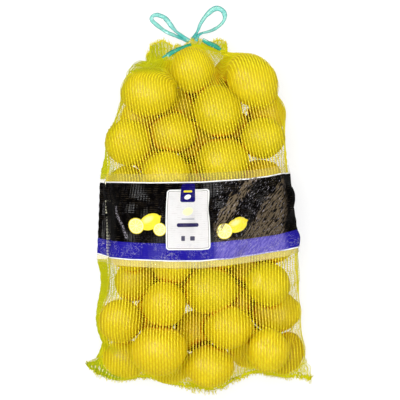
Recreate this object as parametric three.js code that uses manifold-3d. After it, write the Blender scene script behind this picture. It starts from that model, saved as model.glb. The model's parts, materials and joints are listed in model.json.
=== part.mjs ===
// A knitted net of lemons with a film label band and a drawn mouth, lying on its back.
// Millimetres. +Z is up, +Y runs from the sewn hem to the mouth, +X is the bag's right as seen from above.
import * as THREE from 'three';
import { mergeVertices } from 'three/addons/utils/BufferGeometryUtils.js';
import Module from 'manifold-3d';

const wasm = await Module();
wasm.setup();

// ---------------------------------------------------------------------------------------------
// Driving dimensions
// ---------------------------------------------------------------------------------------------
const NET_THICKNESS = 1.0; // the knitted net over the fruit
const SLACK_TOP = 124; // the net starts as a slack box of this height, clear of the fruit
const BAG_MIDDLE_Z = 48; // the level of the bag's widest line
const HEM_Z = 20; // the level of the sewn hem, which the filled net holds off the floor
const HEM_HEIGHT = 7;
const HEM_THICKNESS = 3;
const MOUTH_Z = 26; // the level of the gathered mouth
const MOUTH_THICKNESS = 9;
const FRILL_THICKNESS = 4;

const FLAP_WIDTH = 12; // the side seam's spare edge
const FLAP_THICKNESS = 1.8;
const FLAP_INSET = 7; // how far the seam's root sits in the bag
const FLAP_DROOP = 5; // the seam's outer edge hangs this much lower
const SEAM_START = 3; // the grid rows between which the spare edge stands out
const SEAM_END = 30;
const SEAM_GAP = 0.12; // rows between the net's spare edge and the film's

const BAND_ROWS = [16, 26]; // the grid rows that the film's two edges follow
const BAND_LIFT = 2.2; // the net is this far above the floor where the film goes round it
const FILM_INNER = 0.45; // offset of the film's two faces from the net
const FILM_OUTER = 1.65;

const TAPE_WIDTH = 5; // the drawstring, a flat tape
const TAPE_THICKNESS = 1.2;
const TAPE_CLEARANCE = 0.4;
const TAPE_STEPS = 40;

const FRONT_COLUMNS = 34; // the bag's grid: cells across the upper side, across the lower side, and along it
const BACK_COLUMNS = 16;
const ROWS = 44;
const RELAX_STEPS = 150;
const TENSION = 0.6; // how far a point moves towards its neighbours' mean in one step
const SAG = 0.25; // how far it falls in one step
const SHOULDER_ROW = 34; // the sides keep their y as well from this row on
const LINE_PULL = 0.6; // how firmly the sides and the film's edges keep their lines

// The tube of net seen from above: its left edge, where the side seam is sewn, and its right edge, hem to mouth.
const LEFT_EDGE = [
  [-154, -207], [-129, -198], [-121, -178], [-136, -148], [-134, -125], [-124.5, -98], [-124, -74], [-126, -40],
  [-126, 30], [-125, 68], [-129, 98], [-121, 119], [-115, 135], [-110, 150], [-106, 174], [-101, 195],
  [-89.5, 208], [-72, 215],
];
const RIGHT_EDGE = [
  [153, -221], [149, -206], [143, -190], [137, -172], [133, -154], [135, -130], [136, -90], [135, -50], [130, -10],
  [124, 40], [119, 74], [116, 112], [113, 148], [105, 172], [92, 201], [66, 219], [44, 223], [38, 224],
];
// The hem's lower edge, and the mouth's upper edge with its two frills, left to right.
const HEM_LINE = [
  [-154, -207], [-150, -212], [-140, -217], [-129, -221.5], [-118, -225.5], [-109, -227], [-95, -224.5],
  [-82, -223],
  [-68, -222.5], [-57, -223], [-48, -227], [-38, -231], [-27, -234], [-14, -235.5], [0, -239], [14, -240.5],
  [27, -238], [38, -234], [48, -227], [58, -221.5], [68, -217.5], [78, -216], [85, -216], [96, -219], [109, -221],
  [123, -222], [136, -223], [153, -227],
];
const MOUTH_LINE = [
  [-72, 214], [-66, 231], [-50, 236], [-38, 229], [-30, 226], [-20, 232], [-8, 237], [0, 237], [8, 232],
  [16, 234], [28, 237], [35, 233], [38, 224],
];
// The film's lower and upper edges, left to right.
const BAND_LOWER_LINE = [
  [-140, -62], [-126, -66], [-90, -69], [-40, -71], [2, -71], [30, -68], [76, -62], [112, -56], [136, -50],
];
const BAND_UPPER_LINE = [[-138, 56], [-70, 55], [0, 56], [34, 58], [68, 60], [90, 63], [124, 69]];
// The line that the drawstring takes along the mouth.
const TAPE_LINE = [
  [-78, 207], [-48.6, 213.5], [-40.5, 219], [-29.7, 224], [-20, 227.5], [-6.8, 231], [3, 231], [13.5, 228],
  [27, 224], [46, 217],
];

// The lemons that show, as [x, y, radius, half length, heading, pitch]; heading turns the long axis in plan and
// pitch lifts it. The upper ones lie on the lower ones.
const UPPER_LEMONS = [
  [-10.5, 193.5, 29.5, 34, 80, 55], [-68.2, 164.7, 33.5, 38.5, 5, 10], [-37.5, 109, 28.5, 33.5, 5, 20],
  [-95.5, 98, 31, 34, 100, 40], [-45.9, 52.7, 32.5, 35.5, 15, 45], [25, 140.4, 33, 36, 105, 10],
  [69, 179.5, 32, 40, -50, 5], [83.2, 103.2, 28.5, 33, 20, 50], [31.5, 74, 33.5, 36, 5, 20],
  [-84, 6, 27, 32, 30, 20], [-28, -8, 29, 35, 100, 10], [34, 10, 30, 34, 10, 30], [92, 18, 29, 35, 80, 10],
  [-90, -49, 26, 31, 20, 20], [30, -48, 27, 32, 20, 30], [97.2, -37.8, 28, 33, 10, 20],
  [-37.8, -67.5, 26.5, 30, 70, 55], [-47.6, -119, 30, 33, 80, 50], [-106.7, -143.1, 29.5, 33, 60, 50],
  [15.5, -101.5, 33.5, 37.5, 5, 15], [91.8, -93.2, 29.5, 33, 160, 45], [37.3, -149.5, 29.5, 33.5, 5, 15],
  [91.5, -181.5, 28.5, 32, 85, 40], [-54, -181.5, 34.5, 38, 10, 5], [12.2, -203, 29.5, 34, 5, 15],
];
const LOWER_LEMONS = [
  [100, -131, 29, 35, 0, 5], [-98, 34, 29, 33, 80, 20], [88, 133, 26, 32, 80, 20], [80, 46, 29, 33, 20, 10],
  [-86.5, -89, 28, 32, 60, 20], [-6, -158, 28, 32, 30, 30], [-37.8, -203.9, 25, 31, 10, 10],
  [-101, -195.8, 26, 32, 0, 10], [116.5, -188, 25.5, 30, 70, 10], [-62, -136, 28, 32, 100, 10],
  [8, 170, 26, 31, 60, 10], [42, 190, 25, 30, 20, 10], [-46, 190, 20.5, 26, 30, 10], [63, -176, 27, 31, 90, 10],
  [50, 112, 27, 32, 100, 10], [-82, 130, 27, 32, 70, 10], [-22, 148, 26, 31, 40, 10], [-8, 95, 26, 32, 80, 10],
  [50, -118, 26, 32, 100, 10], [-34, -84, 26, 30, 20, 10], [20, -64, 24, 29, 100, 10], [62, -72, 25, 30, 80, 10],
  [-6, 54, 26, 31, 90, 10],
];
// The rest of the lower layer fills up the floor of the bag in staggered rows.
const FILL_SPACING = 57;
const FILL_ROW = 50;
const FILL_RADIUS = 27.5;
const FILL_LENGTH = 32.5;
const FILL_MARGIN = 32; // from the bag's edge
const FILL_CLEAR = 43; // from a lemon already placed
const FILL_FIRST_Y = -178;
const FILL_LAST_Y = 160;
const END_MARGIN = 10; // between the last lemons and the hem or the mouth
const LOWER_START = 30;
const UPPER_START = 84;
const SETTLE_STEPS = 260;
const SETTLE_DROP = 0.6; // how far a lemon sinks in one step
const PUSH_SHARE = 0.42; // the share of an overlap that each of two lemons gives way
const ANCHOR_PULL = 0.6; // how firmly a seen lemon keeps its place in plan

// ---------------------------------------------------------------------------------------------
// Small helpers
// ---------------------------------------------------------------------------------------------
const { abs, cos, exp, hypot, max, min, sin, sqrt, PI } = Math;
const clamp = (value, low, high) => min(high, max(low, value));
const mix = (a, b, t) => a + (b - a) * t;
const smooth = (t) => { const c = clamp(t, 0, 1); return c * c * (3 - 2 * c); };
const radians = (degrees) => degrees * PI / 180;

// The point at share t of the length of a polyline.
function along(points, t) {
  const steps = points.slice(1).map((p, i) => hypot(p[0] - points[i][0], p[1] - points[i][1]));
  let left = clamp(t, 0, 1) * steps.reduce((sum, step) => sum + step, 0);
  let i = 0;
  while (i < steps.length - 1 && left > steps[i]) left -= steps[i++];
  const share = clamp(left / steps[i], 0, 1);
  return [0, 1].map((k) => mix(points[i][k], points[i + 1][k], share));
}

// The x of an edge line at a given y, and the y of a crossing line at a given x.
function crossing(points, value, from, to) {
  let i = 0;
  while (i < points.length - 2 && value > points[i + 1][from]) i++;
  const share = (value - points[i][from]) / (points[i + 1][from] - points[i][from]);
  return mix(points[i][to], points[i + 1][to], clamp(share, 0, 1));
}
const edgeX = (points, y) => crossing(points, y, 1, 0);
const lineY = (points, x) => crossing(points, x, 0, 1);

// ---------------------------------------------------------------------------------------------
// Lemons: ellipsoids that sink until they rest on each other and on the floor
// ---------------------------------------------------------------------------------------------
function lemon([x, y, radius, half, heading, pitch], z, held) {
  const h = radians(heading);
  const p = radians(pitch);
  const axis = new THREE.Vector3(cos(h) * cos(p), sin(h) * cos(p), sin(p));
  return { at: new THREE.Vector3(x, y, z), push: new THREE.Vector3(), home: [x, y], radius, half, axis, held };
}

// The distance from a lemon's centre to its skin in a unit direction.
function reach(fruit, direction) {
  const c = fruit.axis.dot(direction);
  return 1 / sqrt((1 - c * c) / fruit.radius ** 2 + c * c / fruit.half ** 2);
}

function fillLower(placed) {
  const fillers = [];
  for (let row = 0, y = FILL_FIRST_Y; y < FILL_LAST_Y; row++, y += FILL_ROW) {
    const left = edgeX(LEFT_EDGE, y) + FILL_MARGIN;
    const right = edgeX(RIGHT_EDGE, y) - FILL_MARGIN;
    for (let k = 0, x = left + (row % 2) * FILL_SPACING / 2; x <= right; k++, x += FILL_SPACING) {
      const clear = placed.every((other) => hypot(other[0] - x, other[1] - y) > FILL_CLEAR);
      const size = 1 + 0.05 * sin(2.3 * row + 4.1 * k);
      if (clear) fillers.push([x, y, FILL_RADIUS * size, FILL_LENGTH * size, 47 * k + 71 * row, 12 * sin(3 * k + row)]);
    }
  }
  return fillers;
}

function settle(fruits) {
  const between = new THREE.Vector3();
  for (let step = 0; step < SETTLE_STEPS; step++) {
    for (const f of fruits) {
      f.at.z -= SETTLE_DROP;
      f.push.set(0, 0, 0);
    }
    for (let i = 0; i < fruits.length; i++) {
      for (let j = i + 1; j < fruits.length; j++) {
        between.subVectors(fruits[j].at, fruits[i].at);
        const apart = between.length();
        between.divideScalar(apart);
        const need = reach(fruits[i], between) + reach(fruits[j], between);
        if (apart >= need) continue;
        fruits[i].push.addScaledVector(between, (apart - need) * PUSH_SHARE);
        fruits[j].push.addScaledVector(between, (need - apart) * PUSH_SHARE);
      }
    }
    for (const f of fruits) {
      f.at.add(f.push);
      if (f.held) {
        f.at.x += (f.home[0] - f.at.x) * ANCHOR_PULL;
        f.at.y += (f.home[1] - f.at.y) * ANCHOR_PULL;
      } else {
        f.at.x = clamp(f.at.x, edgeX(LEFT_EDGE, f.at.y) + f.radius, edgeX(RIGHT_EDGE, f.at.y) - f.radius);
        const room = f.radius + END_MARGIN;
        f.at.y = clamp(f.at.y, lineY(HEM_LINE, f.at.x) + room, lineY(TAPE_LINE, f.at.x) - room);
      }
      const foot = hypot(f.radius * sqrt(1 - f.axis.z ** 2), f.half * f.axis.z);
      f.at.z = max(f.at.z, foot + NET_THICKNESS);
    }
  }
  return fruits;
}

const lowerLemons = [...LOWER_LEMONS, ...fillLower(LOWER_LEMONS)];
const lemons = settle([
  ...UPPER_LEMONS.map((row) => lemon(row, UPPER_START, true)),
  ...lowerLemons.map((row, i) => lemon(row, LOWER_START, i < LOWER_LEMONS.length)),
]);

// ---------------------------------------------------------------------------------------------
// The net: a tube that starts slack and shrinks onto the lemons and the floor
// ---------------------------------------------------------------------------------------------
const COLUMNS = FRONT_COLUMNS + BACK_COLUMNS;
const LAST = ROWS - 1;

// The side view of the slack net's upper half: up a wall at the hem, level over the fruit, down a wall at the mouth.
function slackPath(t, hemY, mouthY, hemZ, mouthZ) {
  const rise = SLACK_TOP - hemZ;
  const level = mouthY - hemY;
  const fall = SLACK_TOP - mouthZ;
  const run = t * (rise + level + fall);
  if (run < rise) return [hemY, hemZ + run];
  if (run < rise + level) return [hemY + run - rise, SLACK_TOP];
  return [mouthY, SLACK_TOP - (run - rise - level)];
}

// Where a grid point starts: row 0 is the hem's lower edge, row 1 its upper edge, the last row the frills' edge,
// and the row before it the drawstring's line.
function startPoint(row, column) {
  const front = column <= FRONT_COLUMNS;
  const across = front ? column / FRONT_COLUMNS : (COLUMNS - column) / BACK_COLUMNS;
  const t = clamp((row - 1) / (LAST - 2), 0, 1);
  const left = along(LEFT_EDGE, t);
  const right = along(RIGHT_EDGE, t);
  const bulge = sin(PI * across);
  const side = front ? 1 : -1;
  const share = mix(across, (1 - cos(PI * across)) / 2, 0.5);
  const x = mix(left[0], right[0], share);
  const atHem = row <= 1;
  const atMouth = row >= LAST - 1;
  if (atHem || atMouth) {
    const line = atHem ? HEM_LINE : (row === LAST ? MOUTH_LINE : TAPE_LINE);
    const thick = atHem ? HEM_THICKNESS : (row === LAST ? FRILL_THICKNESS : MOUTH_THICKNESS);
    const lift = row === 1 ? HEM_HEIGHT : 0;
    return new THREE.Vector3(x, lineY(line, x) + lift, (atHem ? HEM_Z : MOUTH_Z) + side * thick / 2 * min(1, 3 * bulge));
  }
  const hemY = lineY(HEM_LINE, x) + HEM_HEIGHT;
  const mouthY = lineY(TAPE_LINE, x);
  const path = front ? slackPath(t, hemY, mouthY, HEM_Z, MOUTH_Z) : [mix(hemY, mouthY, t), 0];
  const level = smooth(min(t, 1 - t) / 0.12);
  const edgeZ = mix(t < 0.5 ? HEM_Z : MOUTH_Z, BAG_MIDDLE_Z, level);
  const spread = bulge ** 0.25;
  return new THREE.Vector3(x, mix(mix(left[1], right[1], share), path[0], spread), mix(edgeZ, path[1], spread));
}

function pushOut(point, gap) {
  for (const f of lemons) {
    const d = point.clone().sub(f.at);
    const length = d.length();
    if (length > f.half + gap) continue;
    const skin = reach(f, d.clone().divideScalar(length)) + gap;
    if (length < skin) point.addScaledVector(d, skin / length - 1);
  }
}

function relaxedNet() {
  const start = [];
  for (let row = 0; row < ROWS; row++) {
    start.push(Array.from({ length: COLUMNS }, (_, column) => startPoint(row, column)));
  }
  let grid = start.map((line) => line.map((p) => p.clone()));
  for (let step = 0; step < RELAX_STEPS; step++) {
    const next = grid.map((line) => line.map((p) => p.clone()));
    for (let row = 2; row < LAST - 1; row++) {
      const floor = row >= BAND_ROWS[0] - 1 && row <= BAND_ROWS[1] + 1 ? BAND_LIFT : 0;
      for (let column = 0; column < COLUMNS; column++) {
        const p = next[row][column];
        const mean = new THREE.Vector3()
          .add(grid[row - 1][column])
          .add(grid[row + 1][column])
          .add(grid[row][(column + 1) % COLUMNS])
          .add(grid[row][(column + COLUMNS - 1) % COLUMNS])
          .divideScalar(4);
        p.lerp(mean, TENSION);
        p.z -= SAG;
        if (row === BAND_ROWS[0]) p.y = mix(p.y, lineY(BAND_LOWER_LINE, p.x), LINE_PULL);
        if (row === BAND_ROWS[1]) p.y = mix(p.y, lineY(BAND_UPPER_LINE, p.x), LINE_PULL);
        if (column === 0 || column === FRONT_COLUMNS) {
          p.x = mix(p.x, start[row][column].x, LINE_PULL);
          if (row > SHOULDER_ROW) p.y = mix(p.y, start[row][column].y, LINE_PULL);
        }
        pushOut(p, NET_THICKNESS);
        p.z = max(p.z, floor);
      }
    }
    grid = next;
  }
  return grid;
}

const net = relaxedNet();

// Outward directions of the grid's points, from the cross product of the two grid directions.
function outward(row, column) {
  const acrossStep = new THREE.Vector3().subVectors(
    net[row][(column + 1) % COLUMNS], net[row][(column + COLUMNS - 1) % COLUMNS]);
  const alongStep = new THREE.Vector3().subVectors(net[min(row + 1, LAST)][column], net[max(row - 1, 0)][column]);
  return acrossStep.cross(alongStep).normalize();
}

// ---------------------------------------------------------------------------------------------
// Closed solids from rings of points, and the joins and cuts between them
// ---------------------------------------------------------------------------------------------
function ringSolid(rings) {
  const size = rings[0].length;
  const positions = [];
  for (const ring of rings) for (const p of ring) positions.push(p.x, p.y, p.z);
  const index = [];
  for (let r = 0; r + 1 < rings.length; r++) {
    for (let c = 0; c < size; c++) {
      const a = r * size + c;
      const b = r * size + (c + 1) % size;
      index.push(a, b, a + size, b, b + size, a + size);
    }
  }
  for (const [ring, base, flip] of [[rings[0], 0, true], [rings.at(-1), (rings.length - 1) * size, false]]) {
    const centre = ring.reduce((sum, p) => sum.add(p), new THREE.Vector3()).divideScalar(size);
    const hub = positions.length / 3;
    positions.push(centre.x, centre.y, centre.z);
    for (let c = 0; c < size; c++) {
      const edge = [base + c, base + (c + 1) % size];
      index.push(...(flip ? [edge[1], edge[0], hub] : [edge[0], edge[1], hub]));
    }
  }
  const geometry = new THREE.BufferGeometry();
  geometry.setAttribute('position', new THREE.Float32BufferAttribute(positions, 3));
  geometry.setIndex(index);
  return geometry;
}

function toManifold(geometry) {
  const bare = geometry.clone();
  bare.deleteAttribute('normal');
  bare.deleteAttribute('uv');
  const merged = mergeVertices(bare, 1e-4);
  const solid = new wasm.Manifold(new wasm.Mesh({
    numProp: 3,
    vertProperties: new Float32Array(merged.attributes.position.array),
    triVerts: new Uint32Array(merged.index.array),
  }));
  return solid;
}

function toGeometry(solid) {
  const mesh = solid.getMesh();
  const geometry = new THREE.BufferGeometry();
  geometry.setAttribute('position', new THREE.Float32BufferAttribute(Float32Array.from(mesh.vertProperties), 3));
  geometry.setIndex(Array.from(mesh.triVerts));
  geometry.computeVertexNormals();
  return geometry;
}

// ---------------------------------------------------------------------------------------------
// The side seam's spare edge: a thin strip that stands out to the left of the tube
// ---------------------------------------------------------------------------------------------
function seamRoot(row) {
  const low = Math.floor(row);
  return net[low][0].clone().lerp(net[min(low + 1, LAST)][0], row - low);
}

function seamStrip(firstRow, lastRow) {
  const stops = [firstRow];
  for (let row = Math.floor(firstRow) + 1; row < lastRow; row++) stops.push(row);
  stops.push(lastRow);
  const up = new THREE.Vector3(0, 0, FLAP_THICKNESS / 2);
  return ringSolid(stops.map((row) => {
    const root = seamRoot(row);
    const taper = smooth((row - SEAM_START + 1) / 4) * smooth((SEAM_END - row) / 5);
    const inner = root.clone().add(new THREE.Vector3(FLAP_INSET, 0, 0));
    const outer = root.clone().sub(new THREE.Vector3(mix(1, FLAP_WIDTH, taper), 0, FLAP_DROOP * taper));
    return [outer.clone().sub(up), outer.clone().add(up), inner.clone().add(up), inner.clone().sub(up)];
  }));
}

// ---------------------------------------------------------------------------------------------
// Tapes: a flat section along a route
// ---------------------------------------------------------------------------------------------
function tape(route, width, thickness, steps) {
  const path = new THREE.CatmullRomCurve3(route.map((p) => new THREE.Vector3(...p)), false, 'centripetal');
  const rings = [];
  for (let i = 0; i <= steps; i++) {
    const t = i / steps;
    const centre = path.getPointAt(t);
    const ahead = path.getTangentAt(t);
    const side = new THREE.Vector3(ahead.y, -ahead.x, 0).normalize();
    const ring = [];
    for (let k = 0; k < 8; k++) {
      const turn = 2 * PI * (k + 0.5) / 8;
      const flat = Math.sign(cos(turn)) * abs(cos(turn)) ** 0.5;
      const high = Math.sign(sin(turn)) * abs(sin(turn)) ** 0.5;
      ring.push(centre.clone().addScaledVector(side, flat * width / 2).add(new THREE.Vector3(0, 0, high * thickness / 2)));
    }
    rings.push(ring.reverse());
  }
  return ringSolid(rings);
}

const LOOP_FLOOR = 1.0;
const LOOP_LEFT = [
  [-18, 237.5, 24.5], [-24, 240.5, 21], [-30, 243, 15], [-36, 246, 8], [-42.3, 248.8, 3.4], [-49, 252.6, LOOP_FLOOR],
  [-55, 257, LOOP_FLOOR], [-61, 261.8, LOOP_FLOOR], [-65.4, 266, LOOP_FLOOR], [-66.6, 269.6, LOOP_FLOOR],
  [-64.2, 272.6, LOOP_FLOOR], [-60, 274, LOOP_FLOOR], [-54.8, 273, LOOP_FLOOR], [-49, 270.4, LOOP_FLOOR],
  [-44.5, 266, LOOP_FLOOR], [-40.8, 261, 2.2], [-37, 256, 6], [-32.5, 250.5, 12.5], [-27, 246, 20],
  [-20, 240.5, 26], [-15, 237, 28.5],
];
const LOOP_RIGHT = [
  [-11, 237.6, 23], [-9.5, 240.5, 21], [-7.4, 244, 17], [-5, 248, 12], [-2.4, 254, 5.6], [0.2, 261, 1.8],
  [3.4, 266.5, LOOP_FLOOR], [7.4, 272, LOOP_FLOOR], [12.7, 277.4, LOOP_FLOOR], [17.8, 281.2, LOOP_FLOOR],
  [23, 283, LOOP_FLOOR], [28.4, 281.6, LOOP_FLOOR], [32.2, 278, LOOP_FLOOR], [34, 273.2, LOOP_FLOOR],
  [33.2, 267.6, LOOP_FLOOR], [29.8, 262.2, LOOP_FLOOR], [24.3, 257.4, LOOP_FLOOR], [17.6, 253.4, 3],
  [10.5, 250.5, 8], [3.5, 248.5, 14], [-1.5, 245.5, 20], [-4, 240.8, 26], [-5.5, 236.8, 29.4],
];
const RUN_Z = 33; // the runs lie on the mouth, close over its upper side
const RUN_LEFT = [
  [-50, 212, RUN_Z - 1.6], [-44, 216.8, RUN_Z], [-38, 220.8, RUN_Z + 0.4], [-30, 224.8, RUN_Z + 0.6],
  [-20.5, 229, RUN_Z], [-12, 232, RUN_Z - 1.5],
];
const RUN_RIGHT = [
  [3.5, 238.5, RUN_Z - 2.4], [7, 236, RUN_Z - 0.6], [11, 233.6, RUN_Z + 0.4], [20.3, 229.6, RUN_Z + 0.6],
  [28.4, 224.8, RUN_Z - 0.4],
];
const RUN_STEPS = 10;

// ---------------------------------------------------------------------------------------------
// The pieces
// ---------------------------------------------------------------------------------------------
function netBag() {
  const tube = toManifold(ringSolid(net));
  const lower = toManifold(seamStrip(SEAM_START, BAND_ROWS[0] - SEAM_GAP));
  const upper = toManifold(seamStrip(BAND_ROWS[1] + SEAM_GAP, SEAM_END));
  let bag = tube.add(lower).add(upper);
  for (const route of [RUN_LEFT, RUN_RIGHT]) {
    const room = tape(route, TAPE_WIDTH + 2 * TAPE_CLEARANCE, TAPE_THICKNESS + 2 * TAPE_CLEARANCE, RUN_STEPS);
    bag = bag.subtract(toManifold(room));
  }
  return toGeometry(bag);
}

function offsetRings(firstRow, lastRow, offset) {
  const rings = [];
  for (let row = firstRow; row <= lastRow; row++) {
    rings.push(net[row].map((p, column) => p.clone().addScaledVector(outward(row, column), offset)));
  }
  return rings;
}

function labelBand() {
  const outer = toManifold(ringSolid(offsetRings(BAND_ROWS[0], BAND_ROWS[1], FILM_OUTER)));
  const inner = toManifold(ringSolid(offsetRings(BAND_ROWS[0] - 2, BAND_ROWS[1] + 2, FILM_INNER)));
  const edge = toManifold(seamStrip(BAND_ROWS[0], BAND_ROWS[1]));
  return toGeometry(outer.add(edge).subtract(inner));
}

function piece(name, geometry, color, roughness) {
  const mesh = new THREE.Mesh(geometry, new THREE.MeshStandardMaterial({ color, roughness, metalness: 0 }));
  mesh.name = name;
  return mesh;
}

const bag = new THREE.Group();
bag.add(piece('net_bag', netBag(), 0xe0cc2a, 0.55));
bag.add(piece('label_band', labelBand(), 0x1c1a1e, 0.25));
bag.add(piece('drawstring_run_left', tape(RUN_LEFT, TAPE_WIDTH, TAPE_THICKNESS, RUN_STEPS), 0x2fa89a, 0.4));
bag.add(piece('drawstring_run_right', tape(RUN_RIGHT, TAPE_WIDTH, TAPE_THICKNESS, RUN_STEPS), 0x2fa89a, 0.4));
bag.add(piece('drawstring_loop_left', tape(LOOP_LEFT, TAPE_WIDTH, TAPE_THICKNESS, TAPE_STEPS), 0x8fe0d6, 0.4));
bag.add(piece('drawstring_loop_right', tape(LOOP_RIGHT, TAPE_WIDTH, TAPE_THICKNESS, TAPE_STEPS), 0x8fe0d6, 0.4));

export default bag;
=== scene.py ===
# %% [markdown]
# # A net of lemons
# A knitted net bag lies on its back, full of lemons. A printed film band goes round its middle, and a
# turquoise tape draws its mouth shut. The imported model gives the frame: where the bag lies and how big it
# is. Its net bag is one plain solid over the fruit and the knit together, so all that shows is made here
# again, in that same frame, as surfaces worked out with numpy: the fruit first, then the net over it, then
# the film.

# %% Frame and tools
import json

import bpy
import numpy as np
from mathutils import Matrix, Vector

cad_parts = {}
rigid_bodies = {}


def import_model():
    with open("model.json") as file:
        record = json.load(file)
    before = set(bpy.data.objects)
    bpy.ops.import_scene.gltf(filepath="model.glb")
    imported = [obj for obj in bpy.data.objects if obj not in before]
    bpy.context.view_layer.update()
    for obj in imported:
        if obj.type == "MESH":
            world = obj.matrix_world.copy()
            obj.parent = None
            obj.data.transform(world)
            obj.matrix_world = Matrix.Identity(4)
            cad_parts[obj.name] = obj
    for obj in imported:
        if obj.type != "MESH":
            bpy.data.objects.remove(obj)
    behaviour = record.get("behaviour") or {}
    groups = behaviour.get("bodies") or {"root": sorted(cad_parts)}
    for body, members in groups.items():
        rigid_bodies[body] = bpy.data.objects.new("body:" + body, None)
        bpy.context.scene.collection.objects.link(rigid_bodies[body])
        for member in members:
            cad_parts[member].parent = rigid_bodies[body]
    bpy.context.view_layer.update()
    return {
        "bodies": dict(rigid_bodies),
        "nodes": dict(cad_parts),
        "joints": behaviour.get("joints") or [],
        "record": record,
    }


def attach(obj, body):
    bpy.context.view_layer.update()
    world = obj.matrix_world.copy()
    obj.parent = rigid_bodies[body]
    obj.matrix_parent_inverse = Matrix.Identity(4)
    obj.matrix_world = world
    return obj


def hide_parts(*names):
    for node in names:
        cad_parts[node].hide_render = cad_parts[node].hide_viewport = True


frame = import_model()
MM = 0.001
print("frame nodes:", sorted(frame["nodes"]))

# %% [markdown]
# ## Helpers
# A mesh could be built up with modifiers on curves, one for each strand, but the net has thousands. So
# meshes are filled straight from arrays. Most of the bag is made of thin strips: a strip is a small closed
# section of three or four corners, carried along a path, and hundreds are made at once as one array.

# %% Number helpers
def unit(vectors):
    """Each vector divided by its own length."""
    return vectors / np.maximum(np.linalg.norm(vectors, axis=-1, keepdims=True), 1e-9)


def smooth(t):
    """0 below 0, 1 above 1, and 3t^2 - 2t^3 between."""
    t = np.clip(t, 0, 1)
    return t * t * (3 - 2 * t)


def rise(value, start, end):
    """0 at start and 1 at end, with a smooth step between. It falls with the value if end is below start."""
    return smooth((value - start) / (end - start))


NOISE_PERIOD = 97


def value_noise(x, y, seed):
    """Smooth random heights from 0 to 1: random values at whole numbers, blended by 3t^2 - 2t^3."""
    table = np.random.default_rng(seed).random((NOISE_PERIOD, NOISE_PERIOD))
    i, j = np.floor(x).astype(int), np.floor(y).astype(int)
    s, t = smooth(x - i), smooth(y - j)
    left, right = i % NOISE_PERIOD, (i + 1) % NOISE_PERIOD
    near, far = j % NOISE_PERIOD, (j + 1) % NOISE_PERIOD
    low = table[left, near] * (1 - s) + table[right, near] * s
    high = table[left, far] * (1 - s) + table[right, far] * s
    return low * (1 - t) + high * t

# %% Mesh helpers
def mesh_object(name, verts, *faces):
    """Makes an object from points in millimetres and arrays of faces, each with one number of corners."""
    mesh = bpy.data.meshes.new(name)
    verts = np.asarray(verts, float).reshape(-1, 3) * MM
    corners = np.concatenate([f.ravel() for f in faces]).astype(np.int32)
    sizes = np.concatenate([np.full(len(f), f.shape[1]) for f in faces])
    mesh.vertices.add(len(verts))
    mesh.vertices.foreach_set("co", verts.astype(np.float32).ravel())
    mesh.loops.add(len(corners))
    mesh.loops.foreach_set("vertex_index", corners)
    mesh.polygons.add(len(sizes))
    mesh.polygons.foreach_set("loop_start", np.concatenate([[0], np.cumsum(sizes)[:-1]]).astype(np.int32))
    mesh.update(calc_edges=True)
    mesh.polygons.foreach_set("use_smooth", np.ones(len(sizes), bool))
    mesh.validate()
    obj = bpy.data.objects.new(name, mesh)
    bpy.context.scene.collection.objects.link(obj)
    triangles = int((sizes - 2).sum())
    print(f"{name}: {len(verts)} points, {triangles} triangles")
    return obj


def point_value(obj, name, values):
    """Stores one number for each point of a mesh, for its material to read."""
    layer = obj.data.attributes.new(name, "FLOAT", "POINT")
    layer.data.foreach_set("value", np.asarray(values, np.float32).ravel())


def grid_faces(rows, cols, wrap_rows=False, wrap_cols=True):
    """Quads of a grid of points, row after row. They face along (step across) x (step along)."""
    index = np.arange(rows * cols).reshape(rows, cols)
    across = np.roll(index, -1, 1)
    above = np.roll(index, -1, 0)
    both = np.roll(across, -1, 0)
    quads = np.stack([index, across, both, above], -1)
    quads = quads if wrap_rows else quads[:-1]
    quads = quads if wrap_cols else quads[:, :-1]
    return quads.reshape(-1, 4)


def strips(path, normal, section, width, height, closed=False):
    """Carries a section along many paths at once.

    path is (strips, points, 3), and normal is too, or one direction for all. section holds (across, up) pairs
    in the order that turns from across to up. A point of the skin is path + side * across * width/2 +
    normal * up * height/2, where side = normal x direction. Returns points, quads and caps.
    """
    normal = np.broadcast_to(normal, path.shape)
    if closed:
        along = np.roll(path, -1, 1) - np.roll(path, 1, 1)
    else:
        along = np.gradient(path, axis=1)
    side = unit(np.cross(normal, unit(along)))
    section = np.asarray(section, float)
    width = np.broadcast_to(width, path.shape[:2])[..., None, None] / 2
    height = np.broadcast_to(height, path.shape[:2])[..., None, None] / 2
    verts = (path[:, :, None] + side[:, :, None] * section[:, :1] * width
             + normal[:, :, None] * section[:, 1:] * height)
    count, points, ring = verts.shape[:3]
    start = (np.arange(count) * points * ring)[:, None, None]
    quads = (grid_faces(points, ring, wrap_rows=closed)[None] + start).reshape(-1, 4)
    if closed:
        return verts.reshape(-1, 3), quads, None
    first = np.arange(ring)[::-1]
    last = (points - 1) * ring + np.arange(ring)
    caps = (np.stack([first, last])[None] + start).reshape(-1, ring)
    return verts.reshape(-1, 3), quads, caps


def strips_object(name, *batches):
    """Joins the results of several strips() calls into one object."""
    verts, faces, base = [], [], 0
    for points, quads, caps in batches:
        verts.append(points)
        faces.append(quads + base)
        if caps is not None:
            faces.append(caps + base)
        base += len(points)
    return mesh_object(name, np.concatenate(verts), *faces)


# Sections of a strand, as (across, up): a pillar's, a thin thread's and a sewing stitch's.
DIAMOND = [(1, 0), (0, 1), (-1, 0), (0, -1)]
WEDGE = [(1, -0.5), (0, 1), (-1, -0.5)]
ROUND = [(np.cos(a), np.sin(a)) for a in np.linspace(0, 2 * np.pi, 8, endpoint=False)]

# %% [markdown]
# ## Camera
# The bag is seen from straight above, from four metres, so its tall middle isn't spread by perspective. An
# orthographic camera would do that too, but a long lens keeps the small spread that a real one has. 540 mm
# of the bag's middle level fill the picture. Lens = sensor * distance / width seen.

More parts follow.
